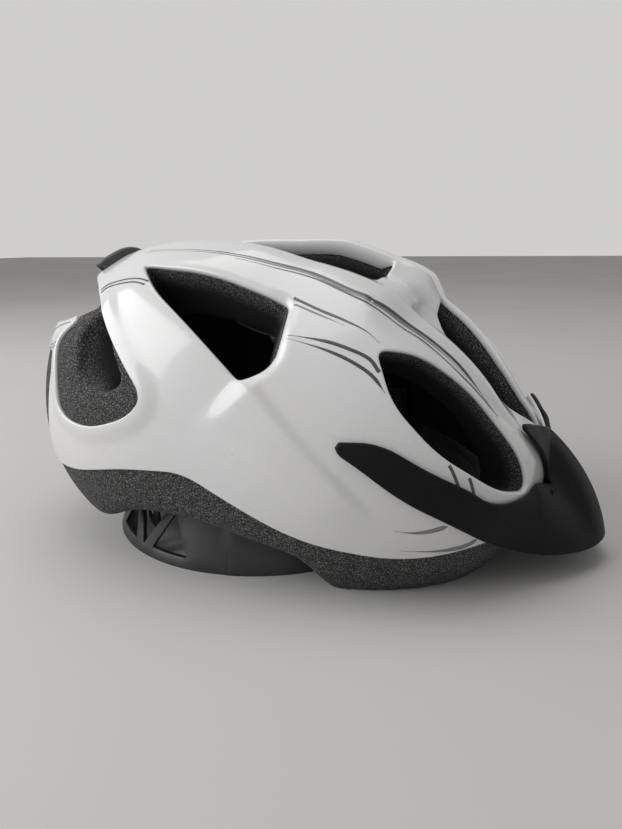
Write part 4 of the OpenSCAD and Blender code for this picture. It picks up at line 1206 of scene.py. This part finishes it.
@dataclass
class Visor:
    """Matt visor: a curved sheet whose arms and horns hug the shell and whose nose stands off it."""

    form: HelmetForm
    wall: float = 2.2
    gap: float = 0.4
    nose: float = 35
    span: float = 27
    swell: float = 0.95
    peg_r: float = 3
    peg_start: float = 126.2
    peg_sides: int = 24
    peg_tip: Pair = (0.8, 0.7)
    step: float = 0.6
    widest: float = 100
    mm_per_degree: float = 2.5
    edge: Outline = Outline.two_sided(
        (0, 12.2, 1), (5.6, 14, 2), (12.5, 15.8, 1.5), (16.6, 16.2, 1), (14, 12.8, 4), (11, 9.4, 3),
        (8.4, 6, 1.5), (7.4, 3.2, 1), (15.5, 5.3, 1.5), (18, 4, 2), (25, 3.2, 4), (30, 3.9, 4), (34, 6.4, 4),
        (42, 9.6, 5), (51, 14.5, 5), (60, 13.5, 1.5), (59, 11, 1.5), (55, 9, 3), (46, 3.5, 5), (37, 0, 5),
        (25, -5.6, 6), (15.5, -7.2, 5), (9, -6.2, 4), (0, -5.2, 4))
    fold: Path = (
        (0, 12.2), (4, 10), (7.4, 4.4), (15.5, 5), (18, 4), (25, 3.2), (34, 6.4), (42, 9.6), (51, 14.5),
        (66, 14))
    rim: Path = (
        (0, -5.2), (9, -6.2), (15.5, -7.2), (25, -5.6), (37, 0), (46, 3.5), (55, 9), (66, 13))

    def turn_rise(self, d: Array) -> tuple[Array, Array]:
        """Turn to either side and rise of directions, in degrees."""
        turn = np.abs(np.degrees(np.arctan2(d[:, 1], d[:, 0])))
        return turn, np.degrees(np.arcsin(np.clip(d[:, 2], -1, 1)))

    def reach(self, d: Array) -> Array:
        """Reach of the visor's outer face."""
        turn, rise = self.turn_rise(d)
        fold, rim = (np.interp(turn, *through(t, 120).T) for t in (self.fold, self.rim))
        down = np.maximum(fold - rise, 0) / (fold - rim)
        out = self.nose * (1 - smooth(turn / self.span)) * down ** self.swell
        dome = self.form.dome.reach(d)
        return dome - self.form.ridge_fall(d * dome[:, None]) + self.gap + self.wall + out

    def margins(self, d: Array) -> Array:
        """Distance of the visor's surface from its outline."""
        spots = np.column_stack(self.turn_rise(d))
        return -self.mm_per_degree * self.edge.distance(spots)[:, None]

    def pegs(self) -> Mesh:
        """The two pegs behind the visor, from their chamfered tips to the middle of its wall."""
        start, side, up = self.peg_start, self.form.peg_side, self.form.peg_z
        end = start
        for _ in range(12):
            p = np.array([[end, side, up]])
            far = np.linalg.norm(p)
            end += float(self.reach(p / far)[0] - self.wall / 2 - far)
        count = self.peg_sides
        turn = np.linspace(0, 2 * math.pi, count, endpoint=False)
        chamfer, share = self.peg_tip
        rows = []
        for x, r in ((start, self.peg_r * share), (start + chamfer, self.peg_r), (end, self.peg_r)):
            rows.append(np.column_stack([np.full(count, x), side + r * np.cos(turn), up + r * np.sin(turn)]))
        ids = np.arange(len(rows) * count).reshape(-1, count)
        after = np.roll(ids, -1, 1)
        faces = np.stack([ids[:-1], after[:-1], after[1:], ids[1:]], -1).reshape(-1, 4).tolist()
        faces += [ids[0, ::-1].tolist(), ids[-1].tolist()]
        return Mesh(np.vstack(rows), faces).mirrored()

    def build(self) -> None:
        """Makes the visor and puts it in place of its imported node."""
        mesher = ChartMesher(self.reach, self.margins, (self.wall / 2,), step=self.step, widest=self.widest)
        for name, mesh in (("visor_peak", mesher.build(self.wall)), ("visor_pegs", self.pegs())):
            piece = mesh.on_table(self.form.stance, name)
            settle_piece(piece, Finish.VISOR, Body.VISOR, "visor")


# Packed rigid pieces

@dataclass
class RigidPieces:
    """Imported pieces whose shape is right: they get rounded edges and their own finish."""

    round_over: float = 0.35
    finishes: dict[str, Finish] = field(default_factory=lambda: {
        "visor_sockets": Finish.CRADLE, "temple_bosses": Finish.CRADLE, "cradle_frame": Finish.CRADLE,
        "pivot_pins": Finish.STEEL, "dial_housing": Finish.DIAL, "dial_cover": Finish.DIAL,
        "cover_screws": Finish.STEEL, "dial_knob": Finish.DIAL, "dial_pinion": Finish.PINION,
        "size_band_left": Finish.CRADLE, "size_band_right": Finish.CRADLE, "strap_anchors": Finish.BUCKLE,
        "strap_dividers": Finish.BUCKLE, "buckle_socket": Finish.BUCKLE, "buckle_plug": Finish.BUCKLE})

    def build(self) -> None:
        """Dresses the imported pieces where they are."""
        for name, finish in self.finishes.items():
            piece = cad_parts[name]
            add_modifier(piece, "WELD", merge_threshold=1e-5)
            add_modifier(piece, "BEVEL", width=self.round_over * MM, segments=2, limit_method="ANGLE",
                         angle_limit=math.radians(50))
            finish.dress(piece)
            log.info("%s: packed piece", name)


# Pads

@dataclass(frozen=True)
class PadPatch:
    """One cushion on the foam's inner face: the turns and rises that it covers."""

    turn: Pair
    rise: Pair


@dataclass
class Pads:
    """Comfort pads: knitted cloth over soft foam, crowned and drawn in at a sewn border."""

    form: HelmetForm
    thick: float = 6
    edge: float = 1.2
    gap: float = 0.5
    fill: float = 0.7
    cols: int = 56
    rows: int = 20
    seam: float = 0.16
    seam_depth: float = 0.35
    seam_width: float = 0.035
    end_share: float = 2.2
    cradle_x: float = -32.7
    patches: dict[str, tuple[PadPatch, ...]] = field(default_factory=lambda: {
        "brow_pad": (PadPatch((-46, 46), (-17, -5)),),
        "crown_pads": (PadPatch((58, 122), (47, 60)), PadPatch((238, 302), (47, 60))),
        "side_pads": (PadPatch((64, 114), (6, 21)), PadPatch((246, 296), (6, 21)))})

    def swell(self, t: Array, u: Array) -> Array:
        """Share of the full thickness over a pad, with a sewn line inside its border."""
        crown = np.sqrt(np.clip(1 - (2 * t - 1) ** 4, 0, 1)) * np.sqrt(np.clip(1 - (2 * u - 1) ** 4, 0, 1))
        border = np.minimum(np.minimum(t, 1 - t), np.minimum(u, 1 - u) * self.end_share)
        return crown * (1 - self.seam_depth * np.exp(-((border - self.seam) / self.seam_width) ** 2))

    def cushion(self, patch: PadPatch) -> Mesh:
        """One pad as a closed mesh in the level dome's frame."""
        u, t = np.meshgrid(np.linspace(0, 1, self.cols), np.linspace(0, 1, self.rows))
        d = toward(patch.turn[0] + (patch.turn[1] - patch.turn[0]) * u,
                   patch.rise[0] + (patch.rise[1] - patch.rise[0]) * t).reshape(-1, 3)
        reach = self.form.head.reach(d) - self.gap
        depth = self.edge + (self.thick - self.edge) * self.swell(t, u).ravel()
        shape = u.shape + (3,)
        return closed_slab((d * reach[:, None]).reshape(shape)[::-1],
                           (d * (reach - depth)[:, None]).reshape(shape)[::-1])

    def build(self) -> None:
        """Makes the pads of the foam and of the cradle."""
        for node, patches in self.patches.items():
            parts = [self.cushion(p) for p in patches]
            points = np.vstack([m.points for m in parts])
            faces = [[i + len(parts[0].points) * k for i in f] for k, m in enumerate(parts) for f in m.faces]
            piece = Mesh(points, faces).on_table(self.form.stance, f"{node}_cloth")
            settle_piece(piece, Finish.PAD, Body.HELMET, node)
        self.nape()

    def nape(self) -> None:
        """Makes the nape pad inside the dial's housing."""
        low, high = (np.array(v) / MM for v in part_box("nape_pad"))
        out = self.cradle_x - low[0]
        half = math.degrees(math.asin(high[1] / out))
        u, t = np.meshgrid(np.linspace(0, 1, self.cols), np.linspace(0, 1, self.rows))
        angle = np.radians(180 - half + 2 * half * u)
        z = low[2] + (high[2] - low[2]) * t
        depth = self.edge + (self.thick - self.edge) * self.swell(t, u)

        def wall(radius: Array) -> Array:
            """Points of the pad's face at a radius from the middle of the cradle."""
            return np.stack([self.cradle_x + radius * np.cos(angle), radius * np.sin(angle), z], -1)[::-1]

        piece = closed_slab(wall(np.full(u.shape, out)), wall(out - depth)).to_scene("nape_pad_cloth")
        settle_piece(piece, Finish.PAD, Body.CRADLE, "nape_pad")


# Straps

@dataclass
class Webbing:
    """Woven straps with rounded selvedges, put away inside the helmet."""

    width: float = 16
    thick: float = 1.6
    strap_x: float = -15.7
    strap_side: float = 70
    strap_z: float = 52
    level_z: float = 9
    chin_in: float = 5.4
    chin_lean: float = 2
    chin_bend: float = 26
    steps: int = 24
    side_runs: dict[str, tuple[Pair, Pair]] = field(default_factory=lambda: {
        "front_straps": ((-8.7, 52), (34.3, 55)), "rear_straps": ((-65.7, 56), (-22.7, 52))})
    chin_ends: dict[str, tuple[int, float]] = field(default_factory=lambda: {
        "chin_strap_left": (1, 25), "chin_strap_right": (-1, -1)})

    def strap(self, line: Array, across: Array, face: Array) -> Mesh:
        """Strap along a line, with a rounded and slightly thinner edge on both sides.

        Args:
            line: points along the strap's middle.
            across: direction across the strap.
            face: directions square to the strap's face, one for each point.

        Returns:
            The strap as a closed mesh.
        """
        s = np.linspace(-1, 1, 13)
        body = np.sqrt(np.clip(1 - np.abs(s) ** 6, 0.02, 1)) * self.thick / 2
        middle = line[:, None] + across * (s * self.width / 2)[None, :, None]
        out = face[:, None] * body[None, :, None]
        return closed_slab(middle + out, middle - out)

    def build(self) -> None:
        """Makes the side straps and the two chin straps."""
        for node, (start, end) in self.side_runs.items():
            run = np.array(end) - np.array(start)
            flat = np.array(start) + run * np.linspace(0, 1, self.steps)[:, None]
            side = np.full(self.steps, self.strap_side + self.thick / 2)
            line = np.column_stack([flat[:, 0], side, flat[:, 1]])
            across = np.array([-run[1], 0, run[0]]) / np.linalg.norm(run)
            face = np.repeat(np.array([[0.0, 1.0, 0.0]]), self.steps, 0)
            piece = self.strap(line, across, face).mirrored().to_scene(f"{node}_web")
            settle_piece(piece, Finish.WEBBING, Body.HELMET, node)
        for node, (side, end) in self.chin_ends.items():
            line = self.chin_line(end)
            run = np.gradient(line, axis=0)
            run /= np.linalg.norm(run, axis=1)[:, None]
            across = np.array([1.0, 0, 0])
            mesh = self.strap(line, across, np.cross(run, across))
            mesh.points = mesh.points * np.array([1, side, 1])
            if side < 0:
                mesh.faces = [f[::-1] for f in mesh.faces]
            settle_piece(mesh.to_scene(f"{node}_web"), Finish.WEBBING, Body.HELMET, node)

    def chin_line(self, end: float) -> Array:
        """Middle line of a chin strap from the side divider down to the buckle."""
        top = np.array([self.strap_side - self.chin_in, self.strap_z])
        bend = np.array([top[0] - self.chin_lean, self.level_z])
        a, b = bend + np.array([0, self.chin_bend]), bend - np.array([self.chin_bend, 0])
        s = np.linspace(0, 1, 14)[:, None]
        curve = a * (1 - s) ** 2 + bend * 2 * s * (1 - s) + b * s * s
        drop = top + (a - top) * np.linspace(0, 1, 8)[:-1, None]
        flat = b + (np.array([end, self.level_z]) - b) * np.linspace(0, 1, 14)[1:, None]
        points = np.vstack([drop, curve, flat])
        return np.column_stack([np.full(len(points), self.strap_x), points])


# Studio

@dataclass(frozen=True)
class Lamp:
    """Soft lamp: its place and size in metres, and its power in watts."""

    name: str
    place: Spot
    size: Pair
    watts: float


@dataclass
class Studio:
    """Plain pale floor, soft light from the left and the camera at the photograph's place."""

    eye: Spot = (132.9, -347.4, 160.9)
    yaw: float = 21.4
    pitch: float = 14.81
    roll: float = -0.7
    focal_px: float = 660
    tall_px: float = 829
    sensor: float = 36
    pale: float = 0.62
    fill: float = 0.28
    floor_half: float = 6.0
    lamp_aim: Spot = (0, 0, 0.07)
    lamps: tuple[Lamp, ...] = (
        Lamp("window", (-1.1, -0.7, 0.8), (1.35, 1.05), 15),
        Lamp("soft_top", (-0.2, 0.1, 1.6), (1.2, 1.2), 7))

    def camera(self) -> None:
        """Stands the camera where the photograph was taken from."""
        yaw, pitch, roll = (math.radians(v) for v in (self.yaw, self.pitch, self.roll))
        ahead = Vector((-math.sin(yaw) * math.cos(pitch), math.cos(yaw) * math.cos(pitch), -math.sin(pitch)))
        level = Vector((math.cos(yaw), math.sin(yaw), 0))
        up = level.cross(ahead)
        right = level * math.cos(roll) + up * math.sin(roll)
        up = right.cross(ahead)
        data = bpy.data.cameras.new("photo_camera")
        data.sensor_width = self.sensor
        data.lens = self.sensor * self.focal_px / self.tall_px
        data.clip_start = 0.01
        camera = bpy.data.objects.new("photo_camera", data)
        turn = Matrix((right, up, -ahead)).transposed().to_4x4()
        camera.matrix_world = Matrix.Translation(Vector(self.eye) * MM) @ turn
        bpy.context.scene.collection.objects.link(camera)
        bpy.context.scene.camera = camera

    def floor(self) -> None:
        """Lays a wide pale floor under the helmet."""
        data = bpy.data.meshes.new("floor")
        half = self.floor_half
        corners = [(-half, -half, 0), (half, -half, 0), (half, half, 0), (-half, half, 0)]
        data.from_pydata(corners, [], [[0, 1, 2, 3]])
        floor = bpy.data.objects.new("floor", data)
        bpy.context.scene.collection.objects.link(floor)
        sheet = NodeSheet("floor_pale")
        cloud = sheet.between(sheet.noise(3, 2), 0.3, 0.7)
        colour = sheet.mixed(cloud, grey(self.pale, 0.01), grey(self.pale * 0.97, 0.01))
        rough = sheet.between(cloud, 0, 1, (0.7, 0.8))
        data.materials.append(sheet.finish(colour, rough, cloud, 0.0))

    def world(self) -> None:
        """Soft even light all round, with a pale backdrop for the camera and for reflections."""
        world = bpy.data.worlds.new("studio")
        bpy.context.scene.world = world
        world.use_nodes = True
        tree = world.node_tree
        tree.nodes.clear()
        path = tree.nodes.new("ShaderNodeLightPath")
        seen = path.outputs["Is Camera Ray"]
        for ray in ("Is Glossy Ray", "Is Transmission Ray"):
            either = tree.nodes.new("ShaderNodeMath")
            either.operation = "MAXIMUM"
            tree.links.new(seen, either.inputs[0])
            tree.links.new(path.outputs[ray], either.inputs[1])
            seen = either.outputs[0]
        light = tree.nodes.new("ShaderNodeBackground")
        light.inputs["Color"].default_value = grey(1.0, 0.01)
        light.inputs["Strength"].default_value = self.fill
        back = tree.nodes.new("ShaderNodeBackground")
        back.inputs["Color"].default_value = grey(self.pale, 0.01)
        back.inputs["Strength"].default_value = 1.0
        mix = tree.nodes.new("ShaderNodeMixShader")
        tree.links.new(seen, mix.inputs[0])
        tree.links.new(light.outputs[0], mix.inputs[1])
        tree.links.new(back.outputs[0], mix.inputs[2])
        out = tree.nodes.new("ShaderNodeOutputWorld")
        tree.links.new(mix.outputs[0], out.inputs["Surface"])

    def hang(self, lamp: Lamp) -> None:
        """Hangs a soft lamp that points at the helmet."""
        data = bpy.data.lights.new(lamp.name, "AREA")
        data.shape = "RECTANGLE"
        data.size, data.size_y = lamp.size
        data.energy = lamp.watts
        made = bpy.data.objects.new(lamp.name, data)
        made.location = lamp.place
        aim = Vector(self.lamp_aim) - Vector(lamp.place)
        made.rotation_mode = "QUATERNION"
        made.rotation_quaternion = aim.to_track_quat("-Z", "Y")
        bpy.context.scene.collection.objects.link(made)

    def build(self) -> None:
        """Sets up the view, the floor and the lights."""
        bpy.context.scene.view_settings.view_transform = "Standard"
        self.camera()
        self.floor()
        self.world()
        for lamp in self.lamps:
            self.hang(lamp)


def main() -> None:
    """Builds every sub-assembly in order."""
    logging.basicConfig(level=logging.INFO, format="%(message)s")
    form = HelmetForm()
    shell = OuterShell(form)
    Studio().build()
    for part in (shell, RearTrim(form), Pinstripes(form, shell.rolls), FoamLiner(form), Visor(form),
                 RigidPieces(), Pads(form), Webbing()):
        part.build()


if __name__ == "__main__":
    main()
